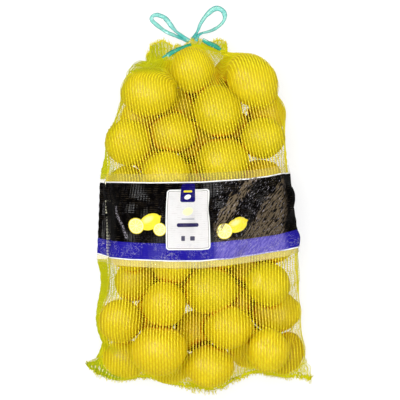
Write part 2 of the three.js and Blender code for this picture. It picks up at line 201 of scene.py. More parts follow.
# %% Camera
CAMERA_HEIGHT = 4.0
VIEW_WIDTH = 0.540
VIEW_LEVEL = 0.060
VIEW_CENTRE_Y = 0.0203
SENSOR_WIDTH = 36
FARTHEST_SEEN = 50

camera_data = bpy.data.cameras.new("camera")
camera_data.sensor_width = SENSOR_WIDTH
camera_data.lens = SENSOR_WIDTH * (CAMERA_HEIGHT - VIEW_LEVEL) / VIEW_WIDTH
camera_data.clip_end = FARTHEST_SEEN
camera = bpy.data.objects.new("camera", camera_data)
camera.location = (0, VIEW_CENTRE_Y, CAMERA_HEIGHT)
bpy.context.scene.collection.objects.link(camera)
bpy.context.scene.camera = camera
print(f"lens {camera_data.lens:.0f} mm")

# %% [markdown]
# ## The drawstring's loops
# The drawstring is one flat plastic tape. It comes out of the mouth in two places, comes down to the floor
# and lies there in two open loops. Their routes are the ones that the frame's solids follow, as points in
# millimetres. A rope simulation would move the loops elsewhere, so each is a smooth curve through chosen
# points, and its length is the cord's.

# %% Drawstring routes
LIE = 1.0  # height of the tape's middle where it lies on the floor
LOOP_LEFT = [
    (-18, 237.5, 24.5), (-24, 240.5, 21), (-30, 243, 15), (-36, 246, 8), (-42.3, 248.8, 3.4),
    (-49, 252.6, LIE), (-55, 257, LIE), (-61, 261.8, LIE), (-65.4, 266, LIE), (-66.6, 269.6, LIE),
    (-64.2, 272.6, LIE), (-60, 274, LIE), (-54.8, 273, LIE), (-49, 270.4, LIE), (-44.5, 266, LIE),
    (-40.8, 261, 2.2), (-37, 256, 6), (-32.5, 250.5, 12.5), (-27, 246, 20), (-20, 240.5, 26),
    (-15, 237, 28.5),
]
LOOP_RIGHT = [
    (-11, 237.6, 23), (-9.5, 240.5, 21), (-7.4, 244, 17), (-5, 248, 12), (-2.4, 254, 5.6), (0.2, 261, 1.8),
    (3.4, 266.5, LIE), (7.4, 272, LIE), (12.7, 277.4, LIE), (17.8, 281.2, LIE), (23, 283, LIE),
    (28.4, 281.6, LIE), (32.2, 278, LIE), (34, 273.2, LIE), (33.2, 267.6, LIE), (29.8, 262.2, LIE),
    (24.3, 257.4, LIE), (17.6, 253.4, 3), (10.5, 250.5, 8), (3.5, 248.5, 14), (-1.5, 245.5, 20),
    (-4, 240.8, 26), (-5.5, 236.8, 29.4),
]
# The tape's width along each loop, as (share of its length, millimetres): it is crumpled, so it varies.
WIDTH_LEFT = [
    (0, 5.0), (0.15, 4.6), (0.4, 5.4), (0.5, 5.0), (0.56, 5.6), (0.66, 7.2), (0.8, 4.4), (0.9, 4.2), (1, 6),
]
WIDTH_RIGHT = [
    (0, 5.2), (0.12, 3.6), (0.2, 4.2), (0.42, 7.4), (0.52, 6.6), (0.6, 4.2), (0.76, 4.2), (0.86, 3.0), (1, 5),
]

# %% Curves
CURVE_FINENESS = 40


def spline(points, count):
    """Centripetal Catmull-Rom curve through the points, cut into steps of equal length."""
    p = np.asarray(points, float)
    p = np.vstack([2 * p[0] - p[1], p, 2 * p[-1] - p[-2]])
    knots = np.concatenate([[0], np.cumsum(np.linalg.norm(np.diff(p, axis=0), axis=1) ** 0.5)])
    fine = np.linspace(knots[1], knots[-2], CURVE_FINENESS * len(p))
    k = np.clip(np.searchsorted(knots, fine, side="right") - 1, 1, len(p) - 3)

    def blend(a, b, ta, tb):
        """From a at ta to b at tb, in a straight line."""
        share = ((fine - ta) / (tb - ta))[:, None]
        return a * (1 - share) + b * share

    t0, t1, t2, t3 = knots[k - 1], knots[k], knots[k + 1], knots[k + 2]
    a1 = blend(p[k - 1], p[k], t0, t1)
    a2 = blend(p[k], p[k + 1], t1, t2)
    a3 = blend(p[k + 1], p[k + 2], t2, t3)
    b1 = blend(a1, a2, t0, t2)
    b2 = blend(a2, a3, t1, t3)
    curve = blend(b1, b2, t1, t2)
    length = np.concatenate([[0], np.cumsum(np.linalg.norm(np.diff(curve, axis=0), axis=1))])
    even = np.linspace(0, length[-1], count)
    return np.stack([np.interp(even, length, curve[:, i]) for i in range(3)], 1), length[-1]

# %% [markdown]
# ### The tape
# The tape is thin and a little hollow along its middle. Its section is a shallow trough with its own
# thickness. A curve with a bevel would be quicker, but can't change width and twist by a formula.

# %% Tape strips
TAPE_ACROSS = np.array([1, 0.72, 0.35, 0, -0.35, -0.72, -1])
TAPE_CURL, TAPE_SINK, TAPE_HALF_THICKNESS = 1.5, 0.6, 0.3
LOOP_POINTS = 110
LOOP_TWIST = 0.35


def tape_strip(route, count, width, twist):
    """A flat tape along a route. Its section is a trough: up = curl * across^2 - sink, plus and minus half
    its thickness. It turns about the path by twist(share), in radians. width holds (share, mm) pairs."""
    path, length = spline(route, count)
    share = np.linspace(0, 1, count)
    direction = unit(np.gradient(path, axis=0))
    flat_side = unit(np.cross([0, 0, 1.0], direction))
    flat_up = np.cross(direction, flat_side)
    angle = twist(share)[:, None]
    normal = np.cos(angle) * flat_up + np.sin(angle) * flat_side
    trough = TAPE_CURL * TAPE_ACROSS**2 - TAPE_SINK
    over = np.stack([TAPE_ACROSS, trough + TAPE_HALF_THICKNESS], 1)
    under = np.stack([TAPE_ACROSS, trough - TAPE_HALF_THICKNESS], 1)
    section = np.concatenate([over, under[::-1]])
    wide = np.interp(share, *np.transpose(width))
    wide = wide * (1 + 0.05 * np.sin(37 * share) + 0.04 * np.sin(71 * share + 1))
    return strips(path[None], normal[None], section[::-1], wide[None], 1.0), path, length


def mark_tape(obj, doubled):
    """Stores 0 in the tape's middle and 1 at its edges, and how much tape lies under each place."""
    across = np.abs(TAPE_ACROSS)
    ring = np.concatenate([across, across[::-1]])[::-1]
    point_value(obj, "across", np.tile(ring, len(doubled)))
    point_value(obj, "doubled", np.repeat(doubled, len(ring)))


loop_objects = {}
for side_name, route, wide, twist in (("left", LOOP_LEFT, WIDTH_LEFT, LOOP_TWIST),
                                      ("right", LOOP_RIGHT, WIDTH_RIGHT, -LOOP_TWIST)):
    turn = lambda share, twist=twist: twist * np.sin(2 * np.pi * share)
    batch, path, length = tape_strip(route, LOOP_POINTS, wide, turn)
    loop_objects[side_name] = (strips_object(f"drawstring_{side_name}", batch), path, length)
    # The first and last fifth of a loop, near the mouth, lie over other tape.
    from_middle = np.abs(np.linspace(0, 1, LOOP_POINTS) - 0.5)
    mark_tape(loop_objects[side_name][0], smooth((from_middle - 0.3) / 0.1))
    print(f"drawstring loop {side_name}: {length:.0f} mm")

# %% [markdown]
# ## Lemons
# The fruit gives the bag its shape, so it is laid first. The lemons that show are chosen one by one: place,
# thickness, length, and how each one is turned. The lower layer is filled up in staggered rows.

# %% Lemon list
# x, y, radius, half length, heading in plan, pitch above it, in millimetres and degrees
UPPER_LEMONS = [
    (-10.5, 193.5, 29.5, 34, 80, 55), (-68.2, 164.7, 33.5, 38.5, 5, 10), (-37.5, 109, 28.5, 33.5, 5, 20),
    (-95.5, 98, 31, 34, 100, 40), (-45.9, 52.7, 32.5, 35.5, 15, 45), (25, 140.4, 33, 36, 105, 10),
    (69, 179.5, 32, 40, -50, 5), (83.2, 103.2, 28.5, 33, 20, 50), (31.5, 74, 33.5, 36, 5, 20),
    (-84, 6, 27, 32, 30, 20), (-28, -8, 29, 35, 100, 10), (34, 10, 30, 34, 10, 30), (92, 18, 29, 35, 80, 10),
    (-90, -49, 26, 31, 20, 20), (30, -48, 27, 32, 20, 30), (97.2, -37.8, 28, 33, 10, 20),
    (-37.8, -67.5, 26.5, 30, 70, 55), (-47.6, -119, 30, 33, 80, 50), (-106.7, -143.1, 29.5, 33, 60, 50),
    (15.5, -101.5, 33.5, 37.5, 5, 15), (91.8, -93.2, 29.5, 33, 160, 45), (37.3, -149.5, 29.5, 33.5, 5, 15),
    (91.5, -181.5, 28.5, 32, 85, 40), (-54, -181.5, 34.5, 38, 10, 5), (12.2, -203, 29.5, 34, 5, 15),
]
LOWER_LEMONS = [
    (100, -131, 29, 35, 0, 5), (-98, 34, 29, 33, 80, 20), (88, 133, 26, 32, 80, 20), (80, 46, 29, 33, 20, 10),
    (-86.5, -89, 28, 32, 60, 20), (-6, -158, 28, 32, 30, 30), (-37.8, -203.9, 25, 31, 10, 10),
    (-101, -195.8, 26, 32, 0, 10), (116.5, -188, 25.5, 30, 70, 10), (-62, -136, 28, 32, 100, 10),
    (8, 170, 26, 31, 60, 10), (42, 190, 25, 30, 20, 10), (-46, 190, 20.5, 26, 30, 10),
    (63, -176, 27, 31, 90, 10), (50, 112, 27, 32, 100, 10), (-82, 130, 27, 32, 70, 10),
    (-22, 148, 26, 31, 40, 10), (-8, 95, 26, 32, 80, 10), (50, -118, 26, 32, 100, 10),
    (-34, -84, 26, 30, 20, 10), (20, -64, 24, 29, 100, 10), (62, -72, 25, 30, 80, 10),
    (-6, 54, 26, 31, 90, 10),
]
# This one at the lower right gets a deeper peel colour: painted shade, as it lies in shade.
SHADED_LEMON_TINT = -0.45
SHADED_LEMON = len(UPPER_LEMONS) + [row[:2] for row in LOWER_LEMONS].index((116.5, -188))
print(f"{len(UPPER_LEMONS)} lemons on top, {len(LOWER_LEMONS)} chosen below them")

# %% [markdown]
# ### The bag's outline
# The tube of net is two edges, the sewn hem, the frilled end and the tape's line, seen from above. The
# fruit has to stay inside it, and the net is hung on it later.

# %% Outline
LEFT_EDGE = np.array([
    (-154, -207), (-129, -198), (-121, -178), (-136, -148), (-134, -125), (-124.5, -98), (-124, -74),
    (-126, -40), (-126, 30), (-125, 68), (-129, 98), (-121, 119), (-115, 135), (-110, 150), (-106, 174),
    (-101, 195), (-89.5, 208), (-72, 215),
], float)
RIGHT_EDGE = np.array([
    (153, -221), (149, -206), (143, -190), (137, -172), (133, -154), (135, -130), (136, -90), (135, -50),
    (130, -10), (124, 40), (119, 74), (116, 112), (113, 148), (105, 172), (92, 201), (66, 219), (44, 223),
    (38, 224),
], float)
HEM_LINE = np.array([
    (-154, -207), (-150, -212), (-140, -217), (-129, -221.5), (-118, -225.5), (-109, -227), (-95, -224.5),
    (-82, -223), (-68, -222.5), (-57, -223), (-48, -227), (-38, -231), (-27, -234), (-14, -235.5), (0, -239),
    (14, -240.5), (27, -238), (38, -234), (48, -227), (58, -221.5), (68, -217.5), (78, -216), (85, -216),
    (96, -219), (109, -221), (123, -222), (136, -223), (153, -227),
], float)
MOUTH_LINE = np.array([
    (-72, 214), (-66, 231), (-50, 236), (-38, 229), (-30, 226), (-20, 232), (-8, 237), (0, 237), (8, 232),
    (16, 234), (28, 237), (35, 233), (38, 224),
], float)
TAPE_LINE = np.array([
    (-78, 207), (-48.6, 213.5), (-40.5, 219), (-29.7, 224), (-20, 227.5), (-6.8, 231), (3, 231), (13.5, 228),
    (27, 224), (46, 217),
], float)


def line_y(line, x):
    """The y of a line that crosses the bag, at x."""
    return np.interp(x, line[:, 0], line[:, 1])


def edge_x(line, y):
    """The x of a side edge, at y."""
    return np.interp(y, line[:, 1], line[:, 0])


print(f"outline {RIGHT_EDGE[:, 0].max() - LEFT_EDGE[:, 0].min():.0f} mm wide, "
      f"{MOUTH_LINE[:, 1].max() - HEM_LINE[:, 1].min():.0f} mm long")

# %% Filling the lower layer
FILL_SPACING, FILL_ROW = 57, 50
FILL_RADIUS, FILL_LENGTH = 27.5, 32.5
FILL_MARGIN, FILL_CLEAR = 32, 43
FILL_FIRST_Y, FILL_LAST_Y = -178, 160


def fill_lower(placed):
    """Staggered rows over the bag's floor, leaving out each place that is too near a chosen lemon. Sizes,
    headings and pitches vary by sines of the row and the place in it."""
    rows = []
    for row, y in enumerate(np.arange(FILL_FIRST_Y, FILL_LAST_Y, FILL_ROW)):
        left = edge_x(LEFT_EDGE, y) + FILL_MARGIN
        right = edge_x(RIGHT_EDGE, y) - FILL_MARGIN
        for k, x in enumerate(np.arange(left + (row % 2) * FILL_SPACING / 2, right + 0.001, FILL_SPACING)):
            size = 1 + 0.05 * np.sin(2.3 * row + 4.1 * k)
            heading, pitch = 47 * k + 71 * row, 12 * np.sin(3 * k + row)
            if min(np.hypot(p[0] - x, p[1] - y) for p in placed) > FILL_CLEAR:
                rows.append((x, y, FILL_RADIUS * size, FILL_LENGTH * size, heading, pitch))
    return rows


fillers = fill_lower(LOWER_LEMONS)
print(f"{len(fillers)} more fill the lower layer")

# %% [markdown]
# ### Settling
# A rigid body simulation could let the fruit roll until it rests, but the chosen lemons would leave their
# places. So all sink in small steps until they rest on each other and on the floor. A lemon is an ellipsoid
# here, and two that overlap push each other apart.

# %% Settling
NET_GAP = 1.0
SETTLE_STEPS, SETTLE_DROP = 260, 0.6
PUSH_SHARE = 0.42
ANCHOR_PULL = 0.6
UPPER_START, LOWER_START = 84.0, 30.0
END_MARGIN = 10.0


def reach(direction, axis, radius, half):
    """Distance from a lemon's centre to its skin: 1 / sqrt(sin^2 / radius^2 + cos^2 / half^2), where the
    angle is the one between the direction and the long axis."""
    cosine = (direction * axis).sum(-1)
    return 1 / np.sqrt((1 - cosine**2) / radius**2 + cosine**2 / half**2)


def settle(rows, held):
    """Lets the lemons sink, push each other apart and stop at the floor. The held ones keep their place in
    plan. In each step a lemon moves by a share of its overlap with each other one, away from that one."""
    data = np.array(rows)
    heading, pitch = np.radians(data[:, 4]), np.radians(data[:, 5])
    axis = np.stack([np.cos(heading) * np.cos(pitch), np.sin(heading) * np.cos(pitch), np.sin(pitch)], 1)
    radius, half = data[:, 2], data[:, 3]
    start_z = np.where(np.arange(len(data)) < len(UPPER_LEMONS), UPPER_START, LOWER_START)
    at = np.column_stack([data[:, :2], start_z])
    foot = np.sqrt(radius**2 * (1 - axis[:, 2] ** 2) + half**2 * axis[:, 2] ** 2)
    for _ in range(SETTLE_STEPS):
        at[:, 2] -= SETTLE_DROP
        between = at[None] - at[:, None]
        apart = np.linalg.norm(between, axis=-1) + np.eye(len(at)) * 1e6
        direction = between / apart[..., None]
        mine = reach(direction, axis[:, None], radius[:, None], half[:, None])
        theirs = reach(direction, axis[None], radius[None], half[None])
        overlap = np.maximum(mine + theirs - apart, 0)
        at -= (direction * overlap[..., None]).sum(1) * PUSH_SHARE
        at[held, :2] += (data[held, :2] - at[held, :2]) * ANCHOR_PULL
        free = ~held
        low = edge_x(LEFT_EDGE, at[free, 1]) + radius[free]
        at[free, 0] = np.clip(at[free, 0], low, edge_x(RIGHT_EDGE, at[free, 1]) - radius[free])
        room = radius[free] + END_MARGIN
        low = line_y(HEM_LINE, at[free, 0]) + room
        at[free, 1] = np.clip(at[free, 1], low, line_y(TAPE_LINE, at[free, 0]) - room)
        at[:, 2] = np.maximum(at[:, 2], foot + NET_GAP)
    return at, axis, radius, half


lemon_rows = UPPER_LEMONS + LOWER_LEMONS + fillers
lemon_held = np.arange(len(lemon_rows)) < len(UPPER_LEMONS) + len(LOWER_LEMONS)
lemon_at, lemon_axis, lemon_radius, lemon_half = settle(lemon_rows, lemon_held)
lemon_litres = 4 / 3 * np.pi * (lemon_radius**2 * lemon_half).sum() * MM**3 * 1000
print(f"{len(lemon_rows)} lemons, {lemon_litres:.2f} litres, "
      f"tops at {(lemon_at[:, 2] + lemon_radius).max():.0f} mm")

# %% [markdown]
# ### The peel
# A lemon's peel is a surface turned about its long axis. Its outline is a little slimmer than an ellipse
# towards the ends, one end draws out into a nipple, and the other has a shallow collar round the stem scar.
# A stretched sphere would have none of that. No two lemons are alike, so low waves of random size dent each
# one, and all of them are worked out as one array.

# %% Lemon surface
LEMON_RINGS, LEMON_ROUND = 30, 34
PEEL_INSIDE_NET = 0.985


def lemon_profile(t, nipple):
    """Distance from the axis, as a share of the radius, at t from -1 (stem) to 1 (nipple)."""
    body = (1 - np.abs(t) ** 2.15) ** 0.62
    tip = 0.2 * nipple * np.exp(-(((t - 0.93) / 0.07) ** 2)) * np.sqrt(np.clip(1 - t, 0, 1) * 3)
    collar = 0.1 * np.exp(-(((t + 0.95) / 0.05) ** 2)) * np.sqrt(np.clip(1 + t, 0, 1) * 6)
    return body + tip + collar


def lemons_object():
    """All lemons as one mesh: point = centre + axis * t * half length + ring(phi) * profile(t) * radius, with
    waves in t and phi that make it lumpy. Also returns each lemon's points."""
    rng = np.random.default_rng(11)
    count = len(lemon_at)
    turn = np.linspace(0, np.pi, LEMON_RINGS)
    t = -np.cos(turn)[None, :, None]
    phi = np.linspace(0, 2 * np.pi, LEMON_ROUND, endpoint=False)[None, None, :]
    draw = rng.uniform(0, 1, (8, count))[:, :, None, None]
    nipple = 0.5 + draw[0]
    share = lemon_profile(t, nipple)
    lumps = (1 + 0.018 * np.sin(2 * phi + 6.28 * draw[1]) + 0.012 * np.sin(3 * phi + 5 * t + 6.28 * draw[2])
             + 0.01 * np.sin(5 * t + 6.28 * draw[3]) * np.sin(phi + 6.28 * draw[4]))
    flip = np.where(draw[5] > 0.5, 1.0, -1.0)
    radius = lemon_radius[:, None, None, None]
    along = lemon_axis[:, None, None, :] * flip[..., None]
    helper = np.where(np.abs(along[..., 2:]) > 0.8, [1.0, 0, 0], [0, 0, 1.0])
    first = unit(np.cross(helper, along))
    second = np.cross(along, first)
    ring = first * np.cos(phi)[..., None] + second * np.sin(phi)[..., None]
    lean = 0.05 * (draw[6] - 0.5)
    centre = along * (t * lemon_half[:, None, None])[..., None] + first * (lean * t**2)[..., None] * radius
    verts = lemon_at[:, None, None] + centre + ring * (share * lumps)[..., None] * radius * PEEL_INSIDE_NET
    ends = verts[:, [0, -1]].mean(2)
    body = verts[:, 1:-1]
    rows = LEMON_RINGS - 2
    per = rows * LEMON_ROUND + 2
    points = np.concatenate([body.reshape(count, -1, 3), ends], 1)
    quads = grid_faces(rows, LEMON_ROUND)
    column = np.arange(LEMON_ROUND)
    stem = np.stack([np.roll(column, -1), column, np.full(LEMON_ROUND, per - 2)], 1)
    top = (rows - 1) * LEMON_ROUND
    tip = np.stack([top + column, top + np.roll(column, -1), np.full(LEMON_ROUND, per - 1)], 1)
    start = (np.arange(count) * per)[:, None, None]
    obj = mesh_object("lemons", points, (quads + start).reshape(-1, 4), (stem + start).reshape(-1, 3),
                      (tip + start).reshape(-1, 3))
    tint = draw[7][:, :, 0].copy()
    # The lower right lemon's low tint is painted shade.
    tint[SHADED_LEMON] = SHADED_LEMON_TINT
    tint = np.broadcast_to(tint, (count, per))
    point_value(obj, "tint", tint)
    position = np.concatenate([np.broadcast_to(t[:, 1:-1], (count, rows, LEMON_ROUND)).reshape(count, -1),
                               np.tile([-1.0, 1.0], (count, 1))], 1)
    point_value(obj, "position", position)
    return obj, points


lemons, lemon_points = lemons_object()

# %% [markdown]
# ## The net's surface
# A full net is pulled tight over its fruit, spans the gaps between lemons and lies slack at the sides. A
# shrinkwrap modifier would press it into every gap, and a cloth simulation wouldn't keep the outline. So
# the net starts as a slack box round the fruit, hung on the outline.

# %% Slack net
SLACK_TOP, MIDDLE_Z = 124.0, 48.0
END_SHARE = 0.12
HEM_Z, HEM_HEIGHT, HEM_THICKNESS = 20.0, 7.0, 3.0
MOUTH_Z, MOUTH_THICKNESS, FRILL_THICKNESS = 26.0, 9.0, 4.0
FRONT_COLUMNS, BACK_COLUMNS, ROWS = 34, 16, 44
COLUMNS, LAST = FRONT_COLUMNS + BACK_COLUMNS, ROWS - 1


def along(points, share):
    """Points at shares of a polyline's length."""
    length = np.concatenate([[0], np.cumsum(np.linalg.norm(np.diff(points, axis=0), axis=1))])
    return np.stack([np.interp(share * length[-1], length, points[:, i]) for i in range(2)], -1)


def slack_net():
    """The starting grid: the hem's two edges, a box over the fruit, the tape's line and the frilled end."""
    row = np.arange(ROWS)[:, None] * np.ones(COLUMNS)
    column = np.arange(COLUMNS)[None] * np.ones((ROWS, 1))
    front = column <= FRONT_COLUMNS
    across = np.where(front, column / FRONT_COLUMNS, (COLUMNS - column) / BACK_COLUMNS)
    t = np.clip((row - 1) / (LAST - 2), 0, 1)
    left, right = along(LEFT_EDGE, t), along(RIGHT_EDGE, t)
    bulge = np.clip(np.sin(np.pi * across), 0, 1)
    side = np.where(front, 1.0, -1.0)
    share = (across + (1 - np.cos(np.pi * across)) / 2) / 2
    x = left[..., 0] * (1 - share) + right[..., 0] * share
    chord = left[..., 1] * (1 - share) + right[..., 1] * share
    hem_y, mouth_y = line_y(HEM_LINE, x) + HEM_HEIGHT, line_y(TAPE_LINE, x)
    rise, level, fall = SLACK_TOP - HEM_Z, mouth_y - hem_y, SLACK_TOP - MOUTH_Z
    run = t * (rise + level + fall)
    path_y = np.where(front, hem_y + np.clip(run - rise, 0, level), hem_y + t * level)
    path_z = np.where(front, np.minimum(HEM_Z + run, SLACK_TOP) - np.maximum(run - rise - level, 0), 0)
    edge_z = np.where(t < 0.5, HEM_Z, MOUTH_Z)
    edge_z = edge_z + (MIDDLE_Z - edge_z) * smooth(np.minimum(t, 1 - t) / END_SHARE)
    spread = bulge**0.25
    y = chord + (path_y - chord) * spread
    z = edge_z + (path_z - edge_z) * spread
    pinned = [(0, HEM_LINE, 0, HEM_Z, HEM_THICKNESS), (1, HEM_LINE, HEM_HEIGHT, HEM_Z, HEM_THICKNESS),
              (LAST - 1, TAPE_LINE, 0, MOUTH_Z, MOUTH_THICKNESS),
              (LAST, MOUTH_LINE, 0, MOUTH_Z, FRILL_THICKNESS)]
    for r, line, lift, middle, thick in pinned:
        y[r] = line_y(line, x[r]) + lift
        z[r] = middle + side[r] * thick / 2 * np.minimum(1, 3 * bulge[r])
    return np.stack([x, y, z], -1)


home_net = slack_net()
print("slack net:", home_net.shape)

# %% [markdown]
# ### Shrinking it onto the fruit
# Then it shrinks: each point moves towards the middle of its four neighbours, falls a little, and is pushed
# out of the lemons and up from the floor. The two neighbours along the bag count for more than the two
# beside, because the knit's pillars are taut and its cross threads aren't. The sewn hem and the drawn mouth
# stay where they are, and the sides and the two lines under the band's rims are held near their places. It
# is done coarsely first, then on grids two and four times as fine.

# %% Shrinking the net
BAND_ROWS = (16, 26)
BAND_LOWER_LINE = np.array([
    (-140, -62), (-126, -66), (-90, -69), (-40, -71), (2, -71), (30, -68), (76, -62), (112, -56), (136, -50),
], float)
BAND_UPPER_LINE = np.array([(-138, 56), (-70, 55), (0, 56), (34, 58), (68, 60), (90, 63), (124, 69)], float)
BAND_LIFT = 1.2
ALONG_PULL, ACROSS_PULL = 0.36, 0.14
HOLD = 0.6
SHOULDER_ROW = 34
TOUCH_MARGIN, STEPS_PER_SEARCH = 14, 8
# cells in a coarse cell, steps, share of the way to the neighbours' middle, fall in a step
ROUNDS = [(1, 150, 0.6, 0.25), (2, 60, 0.7, 0.08), (4, 40, 0.7, 0.02)]
FINE = 4


def finer(grid):
    """Twice as many cells each way: new points half way between the old ones."""
    rows = np.empty((2 * len(grid) - 1, *grid.shape[1:]))
    rows[::2] = grid
    rows[1::2] = (grid[1:] + grid[:-1]) / 2
    out = np.empty((len(rows), 2 * rows.shape[1], 3))
    out[:, ::2] = rows
    out[:, 1::2] = (rows + np.roll(rows, -1, 1)) / 2
    return out


def push_out(points, gap, near):
    """Moves each point that is inside a lemon's skin plus gap out to it. near lists each lemon's points."""
    for k, index in enumerate(near):
        away = points[index] - lemon_at[k]
        length = np.linalg.norm(away, axis=1)
        skin = reach(away / length[:, None], lemon_axis[k], lemon_radius[k], lemon_half[k]) + gap
        inside = length < skin
        hit = index[inside]
        points[hit] = lemon_at[k] + away[inside] * (skin / length)[inside, None]


def near_lemons(points, margin):
    """For each lemon, the points that may touch it."""
    return [np.flatnonzero(np.linalg.norm(points - at, axis=1) < half + margin)
            for at, half in zip(lemon_at, lemon_half)]


def relax(grid, home, scale, steps, tension, sag, gap):
    """Shrinks the grid onto the fruit. scale is its number of cells in one coarse cell."""
    row = np.arange(len(grid)) / scale
    free = (row > 1) & (row < LAST - 1)
    under_band = (row >= BAND_ROWS[0] - 1) & (row <= BAND_ROWS[1] + 1)
    floor = np.where(under_band, BAND_LIFT + NET_GAP, 0.0)[free, None]
    lines = [(int(BAND_ROWS[0] * scale), BAND_LOWER_LINE), (int(BAND_ROWS[1] * scale), BAND_UPPER_LINE)]
    sides = [0, FRONT_COLUMNS * scale]
    shoulder = np.flatnonzero(row > SHOULDER_ROW)[:, None]
    for step in range(steps):
        mean = (np.roll(grid, 1, 0) + np.roll(grid, -1, 0)) * ALONG_PULL
        mean = mean + (np.roll(grid, 1, 1) + np.roll(grid, -1, 1)) * ACROSS_PULL
        moved = grid + (mean - grid) * tension
        moved[..., 2] -= sag
        for r, line in lines:
            moved[r, :, 1] += (line_y(line, moved[r, :, 0]) - moved[r, :, 1]) * HOLD
        moved[:, sides, 0] += (home[:, sides, 0] - moved[:, sides, 0]) * HOLD
        moved[shoulder, sides, 1] += (home[shoulder, sides, 1] - moved[shoulder, sides, 1]) * HOLD
        grid[free] = moved[free]
        flat = grid.reshape(-1, 3)
        if step % STEPS_PER_SEARCH == 0:
            near = near_lemons(flat, TOUCH_MARGIN)
        push_out(flat, gap, near)
        grid = flat.reshape(grid.shape)
        grid[free, :, 2] = np.maximum(grid[free, :, 2], floor)
    return grid


net_grid = home_net.copy()
for scale, steps, tension, sag in ROUNDS:
    if scale > 1:
        home_net, net_grid = finer(home_net), finer(net_grid)
    net_grid = relax(net_grid, home_net, scale, steps, tension, sag, NET_GAP)
print("net grid:", net_grid.shape, "height", round(net_grid[..., 2].max(), 1))


def grid_normals(grid):
    """Outward directions: (step across) x (step along)."""
    across = np.roll(grid, -1, 1) - np.roll(grid, 1, 1)
    return unit(np.cross(across, np.gradient(grid, axis=0)))

# %% [markdown]
# ### How deep the peel lies
# Fruit that lies against the net is lit and pale. In the crevices where lemons touch, the peel looks orange
# and then brown, because its light has met other lemons first. A path tracer finds that only after many
# bounces, so that shade is painted into the peel's colour, by a number stored at each point. Two distances
# say how dark a point is: how far it lies below the net, and how near another lemon's skin is. At the left
# side and the lower right light gets in between the lower lemons too.

# %% Depth in the pack
NET_DEPTH, CREVICE = (6.0, 30.0), (0.8, 10.8)
SIDE_LIGHT = 0.6
FAR_FROM_OTHERS = 0.08
DARK = 0.4


def open_side(points):
    """1 at the bag's left side and 0.6 at its lower right, where light reaches the lower lemons."""
    left = rise(points[..., 0], -55, -90)
    right = rise(points[..., 0], 75, 105) * rise(points[..., 1], -60, -90)
    return np.maximum(left, 0.6 * right)


def crevice_darkness(points, own):
    """depth * (far share + (1 - far share) * nearness), for one lemon's own points: depth rises with the
    distance to the net, less so in side light, and nearness falls with that to the next lemon's skin."""
    away = points[:, None] - net_grid[::3, ::3].reshape(-1, 3)[None]
    depth = rise(np.sqrt(np.einsum("ijk,ijk->ij", away, away).min(1)), *NET_DEPTH)
    depth = depth * (1 - SIDE_LIGHT * open_side(points))
    others = np.arange(len(lemon_at)) != own
    away = points[:, None] - lemon_at[others][None]
    distance = np.linalg.norm(away, axis=-1)
    skin = reach(away / distance[..., None], lemon_axis[others], lemon_radius[others], lemon_half[others])
    nearness = 1 - rise((distance - skin).min(1), *CREVICE)
    return depth * (FAR_FROM_OTHERS + (1 - FAR_FROM_OTHERS) * nearness)


# How much painted shade each point of the peel gets.
crevice_shade = np.stack([crevice_darkness(points, k) for k, points in enumerate(lemon_points)])
point_value(lemons, "crevice_shade", crevice_shade)
print(f"{(crevice_shade > DARK).mean():.0%} of the peel lies in dark crevices")

# %% [markdown]
# ## Pillars and courses
# A raschel net is knitted as upright chains of stitches, the pillars, with thin threads, the courses, laid
# between them every 2.8 mm, which is twice in each stitch. A lattice could be an image with holes, but its
# strands would be flat from the side, so every strand is a strip of its own.
#
# The pillars are 3.9 mm apart on the bag's front and run straight up, leaning a little to the left above
# the band, because the bag is twisted. Where the bag gets narrow the spare pillars crowd together at the
# back, over the left shoulder and at the mouth. So the grid's points slide along their rows until column i
# is pillar i, and every pillar then becomes one thin strip.

# %% Where pillars crowd
PILLAR_SPACING = 3.9
COURSE_SPACING = 5.6
STRAIGHTEN_ROWS = 14


def closed_rows(grid):
    """Each row with its first point again at its end, and the length along it."""
    ring = np.concatenate([grid, grid[:, :1]], 1)
    steps = np.linalg.norm(np.diff(ring, axis=1), axis=2)
    return ring, np.concatenate([np.zeros((len(grid), 1)), np.cumsum(steps, 1)], 1)


def crowding(grid, normals):
    """Where spare pillars gather: the largest of five things, which are 1 on the back, up to 0.45 on the left
    flank, 0.9 on the left shoulder and 0.8 at the mouth, and 0 on the front."""
    x, y, facing = grid[..., 0], grid[..., 1], normals[..., 2]
    back = rise(facing, 0.45, -0.45)
    above = 0.8 + 0.2 * rise(y, 70, 130)
    left = 0.45 * above * rise(x, -30, -100) * smooth((0.95 - facing) / 0.5)
    shoulder = 0.9 * rise(x, -50, -80) * rise(y, 176, 191)
    mouth = 0.8 * rise(y, 196, 220)
    return np.max([back, left, shoulder, mouth], 0)


def blur_rows(values, rows):
    """Averages along the bag with a Gaussian weight, as wide as the given number of rows."""
    reach_rows = int(3 * rows)
    offset = np.arange(-reach_rows, reach_rows + 1)
    kernel = np.exp(-((offset / rows) ** 2) / 2)
    kernel /= kernel.sum()
    padded = np.pad(values, ((reach_rows, reach_rows), (0, 0)), mode="edge")
    return sum(w * padded[reach_rows + o:reach_rows + o + len(values)] for o, w in zip(offset, kernel))

# %% Placing the pillars
LEAN = np.tan(np.radians(11.5))
LEAN_FROM = 50.0
ANCHOR_X = 5
LEVEL_FROM, LEVEL_TO = 0.22, 0.45
LEAST_CROWDING = 0.02


